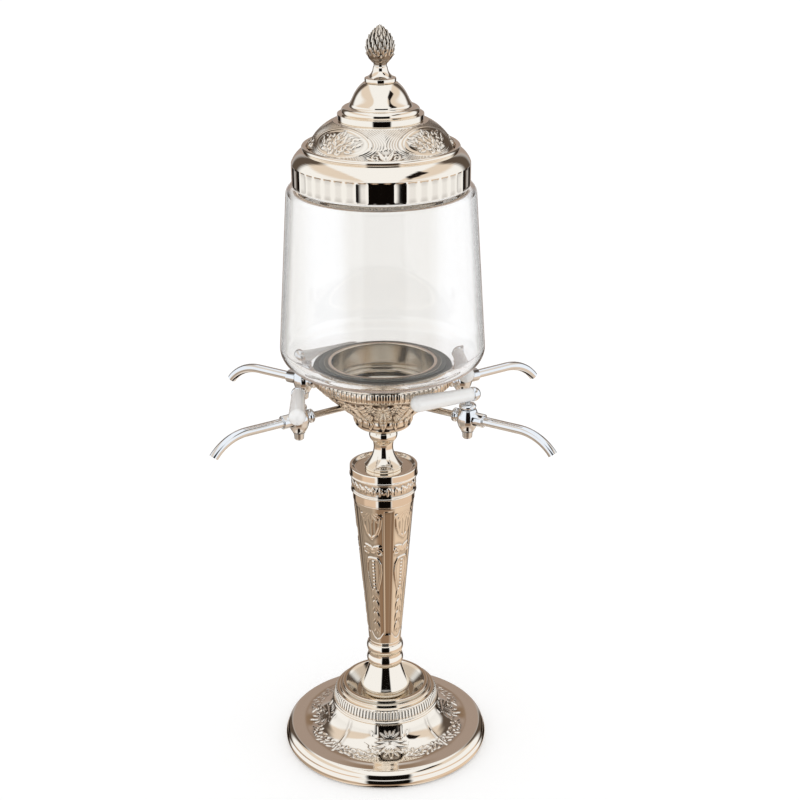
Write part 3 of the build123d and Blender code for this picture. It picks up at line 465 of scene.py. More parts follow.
def eased(points, closed, ease):
    """The same section with each sharp corner eased into a small round."""
    result = []
    count = len(points)
    for i, point in enumerate(points):
        if not closed and i in (0, count - 1):
            result.append(point)
            continue
        back = points[i - 1] - point
        fore = points[(i + 1) % count] - point
        back_length, fore_length = np.hypot(*back), np.hypot(*fore)
        turn = math.pi - math.acos(np.clip(back @ fore / (back_length * fore_length), -1, 1))
        if turn < CORNER:
            result.append(point)
            continue
        cut = min(ease, EDGE_SHARE * back_length, EDGE_SHARE * fore_length)
        first = point + back * cut / back_length
        last = point + fore * cut / fore_length
        result += [first, (first + 2 * point + last) / 4, last]
    return np.array(result)


def section(node, step, fine, azimuth=0.0, ease=EDGE_ROUND):
    """Smooth section of a turned node, its points no further apart than a step in millimetres.

    fine gives (lowest, highest, step) for a part of the outer skin that carries ornament.
    """
    points, closed = outline(node, azimuth)
    keep = np.hypot(*(points - np.roll(points, 1, axis=0)).T) > SHORTEST
    points = eased(points[keep], closed, ease)
    count = len(points)
    reach = np.roll(points, -1, axis=0) - np.roll(points, 1, axis=0)
    if not closed:
        reach[0], reach[-1] = points[1] - points[0], points[-1] - points[-2]
    tangents = reach / np.hypot(*reach.T)[:, None]
    path = []
    for i in range(count if closed else count - 1):
        start, end = points[i], points[(i + 1) % count]
        length = np.hypot(*(end - start))
        spacing = step
        ahead = (end - start) / length
        chased = ahead[1] > OUTWARD or ahead[0] < -UPWARD
        if fine and chased and fine[0] <= (start[1] + end[1]) / 2 <= fine[1]:
            spacing = fine[2]
        pieces = max(1, math.ceil(length / spacing))
        lean = length * tangents[i], length * tangents[(i + 1) % count]
        for t in np.arange(pieces) / pieces:
            path.append(
                (1 + 2 * t) * (1 - t) ** 2 * start
                + t * (1 - t) ** 2 * lean[0]
                + t * t * (3 - 2 * t) * end
                + t * t * (t - 1) * lean[1]
            )
    if not closed:
        path.append(points[-1])
    return np.array(path), closed


def blurred(field, reach):
    """A field averaged over a square of neighbours, round the axis and along the section."""
    steps = range(-reach, reach + 1)
    field = sum(np.roll(field, s, axis=1) for s in steps) / len(steps)
    return sum(np.roll(field, s, axis=0) for s in steps) / len(steps)


def mesh_object(name, points, faces, material):
    """A smooth object of a material from points in metres and faces."""
    mesh = bpy.data.meshes.new(name)
    mesh.from_pydata(points, [], faces)
    mesh.materials.append(material)
    mesh.shade_smooth()
    return placed(name, mesh)


def mark(piece, label, values):
    """Write one value per point of a piece as an attribute that its finish reads."""
    layer = piece.data.attributes.new(label, "FLOAT", "POINT")
    layer.data.foreach_set("value", values.ravel().astype(np.float32))


def turned(name, profile, segments, slot, relief=None, dull_and_shaded=None):
    """A piece turned from a section, with chased relief on its outer skin.

    relief(angle, radius, height, run) gives its height, wetted(radius, height, outward) its painted shade and
    dulling.
    The attributes "recess" and "wet" hold tarnish with painted shade in the sunk ground, and that shade and
    dulling.
    """
    path, closed = profile
    if closed:
        reach = np.roll(path, -1, axis=0) - np.roll(path, 1, axis=0)
    else:
        reach = np.gradient(path, axis=0)
    reach /= np.hypot(*reach.T)[:, None]
    out_r, out_z = reach[:, 1:], -reach[:, :1]
    theta = FRONT + np.arange(segments) * math.tau / segments
    radius, height = path[:, :1], path[:, 1:]
    run = np.cumsum(np.hypot(*np.diff(path, axis=0, prepend=path[:1]).T))[:, None]
    rise = np.zeros((len(path), segments))
    if relief:
        strength = bpy.context.scene.fountain_ornament.relief
        shown = (out_r > OUTWARD) | (out_z > UPWARD)
        rise = strength * relief(theta[None, :] - FRONT, radius, height, run) * shown
    shown_r = np.maximum(radius + out_r * rise, 0)
    shown_z = height + out_z * rise
    points = np.stack((shown_r * np.cos(theta), shown_r * np.sin(theta), shown_z), axis=-1)
    points = points.reshape(-1, 3) * MM
    rows = len(path)
    lower = np.arange(rows if closed else rows - 1)[:, None] * segments
    upper = (lower + segments) % (rows * segments)
    left = np.arange(segments)[None, :]
    right = (left + 1) % segments
    faces = np.stack((lower + left, lower + right, upper + right, upper + left), axis=-1).reshape(-1, 4)
    piece = mesh_object(name, points.tolist(), faces.tolist(), finish_of(slot))
    # Painted shade, with duller polish, where the given function asks for it
    dull_and_shade = dull_and_shaded(radius, height, out_r) if dull_and_shaded else np.zeros_like(radius)
    mark(piece, "dull_and_shade", np.broadcast_to(dull_and_shade, rise.shape))
    # Tarnish and painted shade: darker where the ground lies below its neighbours, and where it is sunk deep
    hollow = np.clip((blurred(rise, RECESS_REACH) - rise) / RECESS_DEPTH, 0, 1)
    mark(piece, "recess", np.maximum(hollow, np.interp(-rise, SUNK_DEPTHS, (0, 1))))
    if not closed:
        join = merged(piece.data)
        join.to_mesh(piece.data)
        join.free()
    return piece


def surfaced(node, slot):
    """A piece that takes over a node's shape, with its facets merged into smooth faces."""
    shell = merged(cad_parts[node].data)
    mesh = bpy.data.meshes.new(f"{node}_surface")
    shell.to_mesh(mesh)
    shell.free()
    mesh.materials.clear()
    mesh.materials.append(finish_of(slot))
    mesh.shade_smooth()
    mesh.set_sharp_from_angle(angle=SHARP)
    return placed(f"{node}_surface", mesh)


def settle(piece, body, slot, *nodes):
    """Let a piece ride on a body and stand for its nodes; its slot is not used."""
    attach(piece, body)
    if nodes:
        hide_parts(*nodes)


def lathed(node, name, body, slot="nickel", relief=None, dull_and_shaded=None, ease=EDGE_ROUND):
    """A turned piece that stands for a node."""
    step, segments, *fine = GRAIN[node]
    profile = section(node, step, fine, ease=ease)
    piece = turned(name, profile, segments, slot, relief, dull_and_shaded)
    settle(piece, body, slot, node)
    return piece


def surface_nodes(body, slots):
    """Surface each named node of a body in its slot's finish."""
    for node, slot in slots.items():
        settle(surfaced(node, slot), body, slot, node)


def sector(angle, count, centre=0.0):
    """Angle from the middle of the nearest of several equal sectors, the first at a centre."""
    step = math.tau / count
    return (angle - centre + step / 2) % step - step / 2


def smooth(edge, soft, value):
    """1 below an edge, falling smoothly to 0 over a soft width above it."""
    t = np.clip((value - edge) / soft, 0, 1)
    return 1 - t * t * (3 - 2 * t)


def within(value, limits):
    """Whether a value lies between two limits."""
    low, high = limits
    return (value > low) & (value < high)


def dome(distance, radius):
    """Rounded height of a bead or ridge at a distance from its middle."""
    return np.sqrt(np.clip(1 - (distance / radius) ** 2, 0, 1))


def highest(heights):
    """The highest of several heights at each place."""
    return reduce(np.maximum, heights)


def leaf(x, y, length, width, turn):
    """Height of a pointed leaf from the origin along y, turned to the side, with a sunk vein."""
    along = y * math.cos(turn) + x * math.sin(turn)
    aside = x * math.cos(turn) - y * math.sin(turn)
    t = np.clip(along / length, 0, 1)
    half = 0.5 * width * np.sin(math.pi * t**LEAF_FULL) + LEAF_THIN
    vein = VEIN_DEPTH * np.exp(-((aside / (VEIN_WIDTH * width)) ** 2))
    return dome(aside, half) * (1 - vein) * within(along, (0, length))


def spray(x, y, places, length, width):
    """Height of leaves of one size with their middles at places, each an (x, y, turn)."""
    leaves = []
    for px, py, turn in places:
        back_x, back_y = 0.5 * length * math.sin(turn), 0.5 * length * math.cos(turn)
        leaves.append(leaf(x - px + back_x, y - py + back_y, length, width, turn))
    return highest(leaves)


def stroke(x, y, path, width):
    """Height of a rounded ridge that follows a path of points."""
    nearest = np.full(np.broadcast(x, y).shape, np.inf)
    for (ax, ay), (bx, by) in zip(path, path[1:]):
        run = (bx - ax) ** 2 + (by - ay) ** 2
        t = np.clip(((x - ax) * (bx - ax) + (y - ay) * (by - ay)) / run, 0, 1)
        nearest = np.minimum(nearest, np.hypot(x - ax - t * (bx - ax), y - ay - t * (by - ay)))
    return dome(nearest, width / 2)


def curl(x, y, middle, radius, turns, start, hand, width):
    """Height of a rounded ridge along a scroll that winds in from a radius about a middle."""
    steps = np.linspace(0, 1, SCROLL_POINTS)
    size = radius * (1 - SCROLL_WIND * steps)
    angle = start + hand * turns * math.tau * steps
    path = list(zip(middle[0] + size * np.cos(angle), middle[1] + size * np.sin(angle)))
    return stroke(x, y, path, width)


def flower(x, y, radius, petals, depth):
    """Height of a round flower with its petals parted to a depth."""
    return dome(np.hypot(x, y), radius) * (1 - depth + depth * np.cos(petals * np.arctan2(y, x)))


def standing(x, y, drawn):
    """Heights of leaves that stand up along y, each drawn as (foot, length, width, turn)."""
    return [leaf(x, y - foot, *shape) for foot, *shape in drawn]


def hanging(x, y, drawn):
    """Heights of leaves that hang down along y, drawn in the same way."""
    return [leaf(x, foot - y, *shape) for foot, *shape in drawn]


def palmette(x, s):
    """Height of a palmette on the base: a fan over a drop of leaves, with a bow and a slash aside."""
    fan = [(20.0, 8 + k, 1.9, math.radians(26 * k)) for k in range(4)]
    bow = [(19.8, 12, 2.6, math.radians(96)), (18.8, 14, 2.8, math.radians(112))]
    drop = [(18.0, 15, 4.6, 0.0), (18.0, 14, 3.2, 0.42), (17.5, 12, 3.2, 0.8)]
    slash_x, slash_s, slash_height = 12.5, 23, 0.6
    slash = slash_height * leaf(x - slash_x, s - slash_s, length=5, width=1.5, turn=0.4)
    return highest([*standing(x, s, fan + bow), *hanging(x, s, drop), slash])


def garland(x, s):
    """Height of the leafy garland that runs from each palmette to the next."""
    first, apart, level, turn = 8.5, 1.35, 5.6, 2.1
    lift, fall = 5.0, 0.25
    sway, pace = 3.0, 2.4
    places = []
    for k in range(26):
        rise = level + lift * math.exp(-fall * k) + sway * math.sin(pace * k)
        places.append((first + apart * k, rise, turn * k))
    return spray(x, s, places, length=4.4, width=1.9)


def base_relief(angle, radius, height, run):
    """Dome of the base: palmettes under sunk panels, ridges between them and a garland round the foot.

    s runs up the dome from its foot, x sideways from the middle of a palmette.
    """
    foot_r, foot_z, dome_run = 61.5, 14.2, (0.6, 31.2)
    s = run - run[np.argmin(np.hypot(radius - foot_r, height - foot_z))]
    count = 4
    phi = np.abs(sector(angle, count, ORNAMENT_TURN))
    x = radius * phi
    palmette_height, garland_height = 0.8, 0.5
    motif = np.maximum(palmette_height * palmette(x, s), garland_height * garland(x, s))
    panel_half_w, panel_s, panel_half_h, panel_depth = 9.4, 26.0, 5.6, 1.3
    far = np.maximum(x / panel_half_w, np.abs(s - panel_s) / panel_half_h)
    panel = smooth(edge=0.86, soft=0.14, value=far)
    ridge_half_w, ridge_top, ridge_height = 0.7, 29.5, 0.5
    ridge = dome(radius * (math.pi / count - phi), ridge_half_w) * smooth(ridge_top, 1.0, s)
    swell_s, swell_fall, swell_height = 14.0, 13.0, 2.2
    swell = (1 - smooth(0.0, swell_s, s)) * smooth(swell_s, swell_fall, s)
    swell = swell * (1 - smooth(edge=3.0, soft=11.0, value=x))
    heights = motif + ridge_height * ridge + swell_height * swell - panel_depth * panel
    return heights * within(s, dome_run)


def dull_shaded_dish(radius, height, outward):
    """Painted shade and a little dullness on the dish round the stem's foot."""
    dish_r, levels, dish_shade = 34, (38, 46), 0.3
    return dish_shade * ((radius < dish_r) & within(height, levels))


def column_motif(u, height):
    """Height of one panel's ornament on the column, from the shell at its top to the buds at its foot."""
    shell = [(196.0, 11, 3.6, turn) for turn in (0.0, 0.5, 1.0)]
    hem, folds_top, folds_half_w = 174, 190, 5.4
    folded = (u < folds_half_w) & within(height, (hem + 0.5 * u**2, folds_top))
    folds = (0.45 + 0.3 * np.cos(2.6 * u)) * folded
    swag = stroke(u, height, [(5.6, 191), (5.0, 184), (3.3, 178), (0, 174)], width=1.9)
    bow_up, bow_down = [(166, 7, 3.0, 1.25)], [(165, 6.5, 2.6, 1.3)]
    rose_level, rose_r = 164, 2.1
    rose = dome(np.hypot(u, height - rose_level), rose_r)
    scroll = curl(u, height, (4.2, 163), radius=2.9, turns=1.1, start=1.9, hand=-1, width=1.5)
    hook_path = [(0.6, 157.5), (3.2, 157), (4.8, 153), (5.3, 146), (4.2, 138), (2.6, 131)]
    hook = stroke(u, height, hook_path, width=1.6)
    beads_foot, beads_top, bead_r, apart = 131, 156, 1.2, 2.8
    along = (height - beads_top) % apart - apart / 2
    beads = dome(np.hypot(u, along), bead_r) * within(height, (beads_foot, beads_top))
    husks = [(level, 10, 3.4, 0.34) for level in (132, 122, 112, 103)]
    buds = [(level, 7, 2.4, 0.0) for level in (128, 118, 108, 99)]
    leaves = hanging(u, height, shell + bow_down + husks + buds) + standing(u, height, bow_up)
    return highest([*leaves, folds, swag, rose, scroll, hook, beads])


def column_relief(angle, radius, height, run):
    """Column: sunk panels with a shell, a drop, scrolls, beads and husks, between plain strips.

    u runs sideways from the middle of a panel to its half width, which lies at its half angle.
    """
    half_angle, half_w = math.radians(25), 7
    u = np.abs(sector(angle, count=5, centre=math.radians(-27))) / half_angle * half_w
    foot, top, edge = 88.0, 195.0, 6.7
    inside = (u < edge) & within(height, (foot + half_w * (u / half_w) ** 2, top))
    strip_u, strip_half_w, strip_levels = 10.1, 3.1, (92.0, 197)
    strip = (u > half_w) & within(height, strip_levels)
    hollow = smooth(edge=0.6, soft=0.4, value=np.abs(u - strip_u) / strip_half_w)
    motif_height, ground = 0.55, 0.4
    return inside * (motif_height * column_motif(u, height) - ground) - strip * ground * hollow


def head_relief(angle, radius, height, run):
    """Head of the column: a narrow frieze of flowers and leaves between two plain bands."""
    count, level, half_h = 26, 213.0, 4.4
    x = radius * sector(angle, count)
    between = radius * sector(angle, count, math.pi / count)
    y = height - level
    blade = standing(between, y, [(-3.4, 6.8, 1.7, 0.0)])
    barb = hanging(between, y, [(3.4, 5.0, 1.5, 0.7)])
    motif = highest([flower(x, y, radius=2.0, petals=5, depth=0.3), *blade, *barb])
    motif_height, ground = 0.5, 0.4
    return (np.abs(y) < half_h) * (motif_height * motif - ground)


def cup_relief(angle, radius, height, run):
    """Cup: a full round bowl, and upright leaves and flowers on a deep ground above it."""
    count, foot, top = 14, 260.0, 289.5
    y = height - foot
    x = np.abs(radius * sector(angle, count))
    between = np.abs(radius * sector(angle, count, math.pi / count))
    broad = [(0, 27, 7.0, 0.0)]
    lobes = [(6 + 4 * k, 9, 3.2, 0.7 + 0.1 * k) for k in range(5)]
    bud = [(24.5, 5, 3.0, 0.5)]
    bloom_y = 21
    bloom = flower(between, y - bloom_y, radius=3.4, petals=6, depth=0.35)
    scroll = curl(between, y, (2.2, 12), radius=2.0, turns=1.2, start=0.4, hand=1, width=1.1)
    motif = highest([*standing(x, y, broad + lobes), *standing(between, y, bud), bloom, scroll])
    inner_edge = 246
    outside = radius > height - inner_edge
    side = (y > 0) & (height < top) & outside
    bowl = (1 - smooth(edge=254.6, soft=4.4, value=height)) * smooth(foot, 8.0, height) * outside
    motif_height, ground, bowl_swell = 1.5, 1.2, 2.8
    return side * (motif_height * motif - ground) + bowl_swell * bowl


def medallion(x, y):
    """Height of the leaves of a medallion, which spread from a root below its middle."""
    count, wide, high, root = 24, 18, 9, 11
    pace, sway = 2.4, 0.6
    places = []
    for k in range(count):
        size = math.sqrt((k + 0.5) / count)
        px = wide * size * abs(math.cos(pace * k))
        py = high * size * math.sin(pace * k)
        places.append((px, py, math.atan2(px, py + root) + sway * (-1) ** k))
    return spray(x, y, places, length=5.0, width=2.1)


def lid_relief(angle, radius, height, run):
    """Dome of the lid: oval medallions of leaves in smooth rings, with fanned lines between them.

    y runs up the dome, which is drawn taller than it stands.
    """
    foot, dome_height, drawn_height, drawn = 456.2, 19.2, 28, (0.6, 27.2)
    y = (height - foot) / dome_height * drawn_height
    count = 4
    across = np.abs(sector(angle, count, ORNAMENT_TURN))
    turn = math.pi / count - across
    middle, half_turn, half_level = 15.0, math.radians(33), 11.6
    level = y - middle
    far = np.hypot(turn / half_turn, level / half_level)
    leaf_height, ground = 0.6, 0.3
    field = leaf_height * medallion(radius * turn, level) - ground
    ring_at, ring_half_w, ring_height = 0.96, 0.04, 0.25
    ring = ring_height * dome(far - ring_at, ring_half_w)
    inner = smooth(edge=0.74, soft=0.14, value=far) * field + ring
    line_count, line_height, more_below = 14, 0.32, 0.3
    lines = 0.5 + 0.5 * np.cos(math.tau * (far - 1) * line_count)
    fan = (line_height + more_below * smooth(edge=6.0, soft=7.0, value=y)) * lines
    x = radius * across
    tuft_y, tuft_flat = 3, 0.7
    tuft = smooth(edge=7.5, soft=2.5, value=np.hypot(x * tuft_flat, y - tuft_y))
    leaves = standing(x, y, [(0.8, 8, 3.2, 0.0), (1.5, 12, 3.2, 0.5), (1, 15, 2.8, 1.25)])
    scroll = curl(x, y, (6.9, 5.6), radius=2.8, turns=1.3, start=2.4, hand=-1, width=1.4)
    outer = fan * (1 - tuft) + tuft * (highest([*leaves, scroll]) - ground) - ground
    return np.where(far < 1, inner, outer) * within(y, drawn)


def flute_relief(angle, radius, height, run):
    """Skirt of the lid: shallow hollow flutes with sharp ridges between them."""
    count = bpy.context.scene.fountain_ornament.lid_flutes
    depth, levels = 0.3, (432.6, 446.5)
    share = sector(angle, count, -FRONT) * count / math.pi
    return -depth * (1 - share**2) * within(height, levels)


def cone_relief(angle, radius, height, run):
    """Core of the pine cone, which lies below its scales."""
    depth = 1.3
    return -depth * (1 - smooth(edge=509.5, soft=2.0, value=height)) + 0 * angle


def dull_shaded_well(radius, height, outward):
    """Painted shade and dullness of the well: its flange is dark, its walls and floor darker and duller, its
    lip bright.
    """
    well_r, levels, inward, wall_shade = 37.5, (250, 304.4), 0.3, 0.35
    wall = (outward < inward) & (radius < well_r) & within(height, levels)
    flange_r, flange_z = 38.2, 303.9
    flange = (radius > flange_r) & (height > flange_z)
    lip_r, lip_z, lip_half = 29.4, 288.6, 0.8
    lip = (radius < lip_r) & (np.abs(height - lip_z) < lip_half)
    return np.where(flange, 1.0, np.where(wall & ~lip, wall_shade, 0.0))


def group_tree(name):
    """A geometry tree for copies of a motif, its inputs, a point for each copy and their index."""
    tree = bpy.data.node_groups.new(name, "GeometryNodeTree")
    tree.interface.new_socket("Motif", in_out="INPUT", socket_type="NodeSocketGeometry")
    tree.interface.new_socket("Count", in_out="INPUT", socket_type="NodeSocketInt")
    tree.interface.new_socket("Geometry", in_out="OUTPUT", socket_type="NodeSocketGeometry")
    given = add(tree, "NodeGroupInput").outputs
    line = add(tree, "GeometryNodeMeshLine", {"Count": given["Count"], "Offset": (0, 0, 0)})
    index = add(tree, "GeometryNodeInputIndex").outputs["Index"]
    return tree, given, line.outputs["Mesh"], index


def vector(tree, **axes):
    """A vector from the sockets of its axes."""
    return add(tree, "ShaderNodeCombineXYZ", axes).outputs["Vector"]


def copied(tree, given, points, turn, size=(1, 1, 1)):
    """Finish a geometry tree with real, turned copies of its motif on points."""
    inputs = {"Points": points, "Instance": given["Motif"], "Rotation": turn, "Scale": size}
    copies = add(tree, "GeometryNodeInstanceOnPoints", inputs)
    real = add(tree, "GeometryNodeRealizeInstances", {"Geometry": copies.outputs["Instances"]})
    add(tree, "NodeGroupOutput", {"Geometry": real.outputs["Geometry"]})
    return tree


def ring_tree():
    """Geometry nodes that repeat a motif round the upright axis."""
    tree, given, points, index = group_tree("repeat_round_axis")
    angle = maths(tree, "MULTIPLY", index, maths(tree, "DIVIDE", math.tau, given["Count"]))
    return copied(tree, given, points, vector(tree, Z=angle))


def cone_tree():
    """Geometry nodes that set scales on a pine cone in a spiral, smaller and bent inward towards its tip."""
    tree, given, points, index = group_tree("pine_cone_spiral")
    foot, height, radius = 514.0 * MM, 21.2 * MM, 8.8 * MM
    share = maths(tree, "DIVIDE", index, given["Count"])
    golden_angle = math.radians(137.508)
    angle = maths(tree, "MULTIPLY", index, golden_angle)
    sweep, start, fullness = 2.5, 0.55, 0.7
    swing = maths(tree, "SINE", maths(tree, "MULTIPLY_ADD", share, sweep, start))
    out = maths(tree, "MULTIPLY", maths(tree, "POWER", swing, fullness), radius)
    place = vector(
        tree,
        X=maths(tree, "MULTIPLY", out, maths(tree, "COSINE", angle)),
        Y=maths(tree, "MULTIPLY", out, maths(tree, "SINE", angle)),
        Z=maths(tree, "MULTIPLY_ADD", share, height, foot),
    )
    moved = add(tree, "GeometryNodeSetPosition", {"Geometry": points, "Position": place})
    bend, slope, foot_lean, shrink = 0.37, -1.72, 0.6, -0.45
    lean = maths(tree, "MULTIPLY_ADD", share, maths(tree, "MULTIPLY_ADD", share, bend, slope), foot_lean)
    size = maths(tree, "MULTIPLY_ADD", share, shrink, 1.0)
    return copied(tree, given, moved.outputs["Geometry"], vector(tree, Y=lean, Z=angle), size)


def grown(piece, tree, count):
    """Copy a piece by a geometry tree, and keep the result as its mesh."""
    growth = piece.modifiers.new(tree.name, "NODES")
    growth.node_group = tree
    growth[tree.interface.items_tree["Count"].identifier] = count
    seed = piece.data
    whole = piece.evaluated_get(bpy.context.evaluated_depsgraph_get())
    piece.data = bpy.data.meshes.new_from_object(whole)
    piece.modifiers.clear()
    bpy.data.meshes.remove(seed)
    return piece


def walls(rows, columns, rings):
    """Faces between rows of points, which may be rings, and over the first and last row."""
    faces = []
    for i in range(rows - 1):
        for j in range(columns if rings else columns - 1):
            k, n = columns * i + j, columns * i + (j + 1) % columns
            faces.append((k, n, n + columns, k + columns))
    ends = tuple(range(columns - 1, -1, -1)), tuple(range(columns * (rows - 1), columns * rows))
    return [*faces, *ends]


def rib(name, foot, top, width, rise, dark):
    """One half-round rib at azimuth 0 from a foot to a top, each a (radius, height), with painted shade on
    its sunk edges.
    """
    foot, top = np.array(foot), np.array(top)
    run = (top - foot) / np.hypot(*(top - foot))
    out = np.array((run[1], -run[0]))
    sides = np.linspace(-1, 1, RIB_COLUMNS)
    points = []
    for share, full in RIB_ROWS:
        middle = foot + share * (top - foot)
        for side in sides:
            radius, height = middle + out * (rise * full * math.sqrt(1 - side * side) - RIB_SUNK)
            points.append((radius * MM, side * width / 2 * MM, height * MM))
    last = len(points) - 1
    faces = walls(len(RIB_ROWS), RIB_COLUMNS, rings=False)
    faces.append(tuple(range(0, len(points), RIB_COLUMNS)) + tuple(range(last, 0, -RIB_COLUMNS)))
    piece = mesh_object(name, points, faces, finish_of("nickel"))
    # Painted shade along the sunk edges of the rib
    mark(piece, "recess", dark * np.tile(np.abs(sides) ** 4, len(RIB_ROWS)))
    return piece


def ribbed(name, count):
    """A ring of ribs on the stand."""
    tree = bpy.data.node_groups.get("repeat_round_axis") or ring_tree()
    settle(grown(rib(name, *RIBS[name]), tree, count), "stand", "nickel")


def scale_motif(name):
    """One scale of the pine cone: a pointed leaf with a raised spine, with painted shade on its back, edges
    and root.
    """
    back_dark, edge_dark, root_dark = SCALE_SHADE
    points = []
    depths = []
    for share, half, proud in SCALE_ROWS:
        z = (share - SCALE_ROOT) * SCALE_LENGTH
        edge = proud - SCALE_SPINE
        ring = ((SCALE_BACK, 0), (edge, -1), (proud, 0), (edge, 1))
        points += [(x * MM, y * half * MM, z * MM) for x, y in ring]
        # Painted shade on the back, edges and root of each scale
        depths += [back_dark, edge_dark, root_dark * max(0.0, 1 - 2 * share), edge_dark]
    faces = walls(len(SCALE_ROWS), len(ring), rings=True)
    piece = mesh_object(name, points, faces, finish_of("nickel"))
    mark(piece, "recess", np.array(depths))
    return piece


class FOUNTAIN_OT_base(Operator):
    """Dress the base: chased dome, reeded band, weight and pad"""

    bl_idname = "fountain.base"
    bl_label = "Base"

    def execute(self, context):
        lathed("base_shell", "base_chased", "stand", relief=base_relief, dull_and_shaded=dull_shaded_dish)
        ribbed("base_reeds", context.scene.fountain_ornament.reeds)
        surface_nodes("stand", {"base_pad": "felt", "base_weight": "iron"})
        surface_nodes("stand", {"base_washer": "steel", "base_nut": "steel"})
        return {"FINISHED"}


class FOUNTAIN_OT_stem(Operator):
    """Dress the stem: foot, collar, chased column, its head and the neck"""

    bl_idname = "fountain.stem"
    bl_label = "Stem"

    def execute(self, context):
        for node in ("stem_foot", "stem_collar", "neck"):
            lathed(node, f"{node}_turned", "stand")
        lathed("column", "column_chased", "stand", relief=column_relief)
        lathed("column_head", "column_head_chased", "stand", relief=head_relief)
        surface_nodes("stand", {"tie_rod": "steel"})
        return {"FINISHED"}


class FOUNTAIN_OT_cup(Operator):
    """Dress the cup: leafy side, fluted rim band, well ring, knurled clamp ring, nut and seals"""

    bl_idname = "fountain.cup"
    bl_label = "Cup"

    def execute(self, context):
        ornament = context.scene.fountain_ornament
        lathed("cup", "cup_chased", "stand", relief=cup_relief, dull_and_shaded=dull_shaded_well)
        ribbed("cup_flutes", ornament.cup_flutes)
        for node in ("well_ring", "clamp_ring"):
            lathed(node, f"{node}_turned", "stand", dull_and_shaded=dull_shaded_well)
        ribbed("clamp_teeth", ornament.teeth)
        surface_nodes("stand", {"cup_seal": "rubber", "cup_nut": "steel"})
        surface_nodes("stand", {"jar_gasket": "rubber", "clamp_gasket": "rubber"})
        return {"FINISHED"}


class FOUNTAIN_OT_jar(Operator):
    """Dress the jar in blown glass"""

    bl_idname = "fountain.jar"
    bl_label = "Jar"

    def execute(self, context):
        jar = lathed("jar", "jar_blown", "stand", "glass")
        jar.visible_shadow = False
        return {"FINISHED"}


class FOUNTAIN_OT_lid(Operator):
    """Dress the lid: fluted skirt, chased dome, polished cap, seal, washer and nut"""

    bl_idname = "fountain.lid"
    bl_label = "Lid"

    def execute(self, context):
        count = context.scene.fountain_ornament.lid_flutes
        ridge = math.pi / count
        profile = section("lid_band", LID_BAND_STEP, LID_BAND_FINE, ridge)
        band = turned("lid_band_fluted", profile, FLUTE_SEGMENTS * count, "nickel", flute_relief)
        band.data.set_sharp_from_angle(angle=FLUTE_EDGE)
        settle(band, "lid", "nickel", "lid_band")
        lathed("lid_dome", "lid_dome_chased", "lid", relief=lid_relief)
        lathed("lid_cap", "lid_cap_turned", "lid")
        seal = surfaced("lid_seal", "silicone")
        seal.visible_transmission = False
        settle(seal, "lid", "rubber", "lid_seal")
        surface_nodes("lid", {"lid_washer": "steel", "lid_nut": "steel"})
        return {"FINISHED"}


class FOUNTAIN_OT_finial(Operator):
    """Dress the finial: turned neck and a pine cone of scales"""

    bl_idname = "fountain.finial"
    bl_label = "Finial"

    def execute(self, context):
        lathed("finial", "finial_turned", "lid", relief=cone_relief, ease=CONE_EDGE_ROUND)
        count = context.scene.fountain_ornament.scales
        scales = grown(scale_motif("finial_scales"), cone_tree(), count)
        settle(scales, "lid", "nickel")
        return {"FINISHED"}


class FOUNTAIN_OT_taps(Operator):
    """Dress the four taps: chromed bodies, spouts and plugs, and porcelain grips"""

    bl_idname = "fountain.taps"
    bl_label = "Taps"

    def execute(self, context):
        for place in PLACES:
            for body, slots in (("stand", TAP_SLOTS), (f"plug_{place}", PLUG_SLOTS)):
                surface_nodes(body, {f"{node}_{place}": slot for node, slot in slots.items()})
        return {"FINISHED"}


def floor_material():
    """White floor: lit as it is, and lifted to white where it is seen directly, less through glass."""
    material, tree = new_material("floor_white")
    path = add(tree, "ShaderNodeLightPath").outputs
    direct = maths(tree, "MULTIPLY", path["Is Camera Ray"], FLOOR_LIFT)
    lift = maths(tree, "MULTIPLY_ADD", path["Is Transmission Ray"], FLOOR_LIFT_IN_GLASS, direct)
    glow = add(tree, "ShaderNodeEmission", {"Strength": lift})
    paint = add(tree, "ShaderNodeBsdfDiffuse", {"Color": (*linear(FLOOR_COLOUR), 1)})
    both = add(tree, "ShaderNodeAddShader", {0: glow.outputs["Emission"], 1: paint.outputs["BSDF"]})
    show(tree, both.outputs["Shader"])
    return material


def fade(tree, value, start, end):
    """0 at a start, changing smoothly to 1 at an end."""
    given = {"Value": value, "From Min": start, "From Max": end}
    return add(tree, "ShaderNodeMapRange", given, interpolation_type="SMOOTHSTEP").outputs["Result"]


def bound(tree, value, start, end, soft=None):
    """1 past a fade from a start to an end or, with soft edges, 1 between them."""
    if soft is None:
        return fade(tree, value, start, end)
    rise = fade(tree, value, start - soft, start + soft)
    return maths(tree, "MULTIPLY", rise, fade(tree, value, end + soft, end - soft))


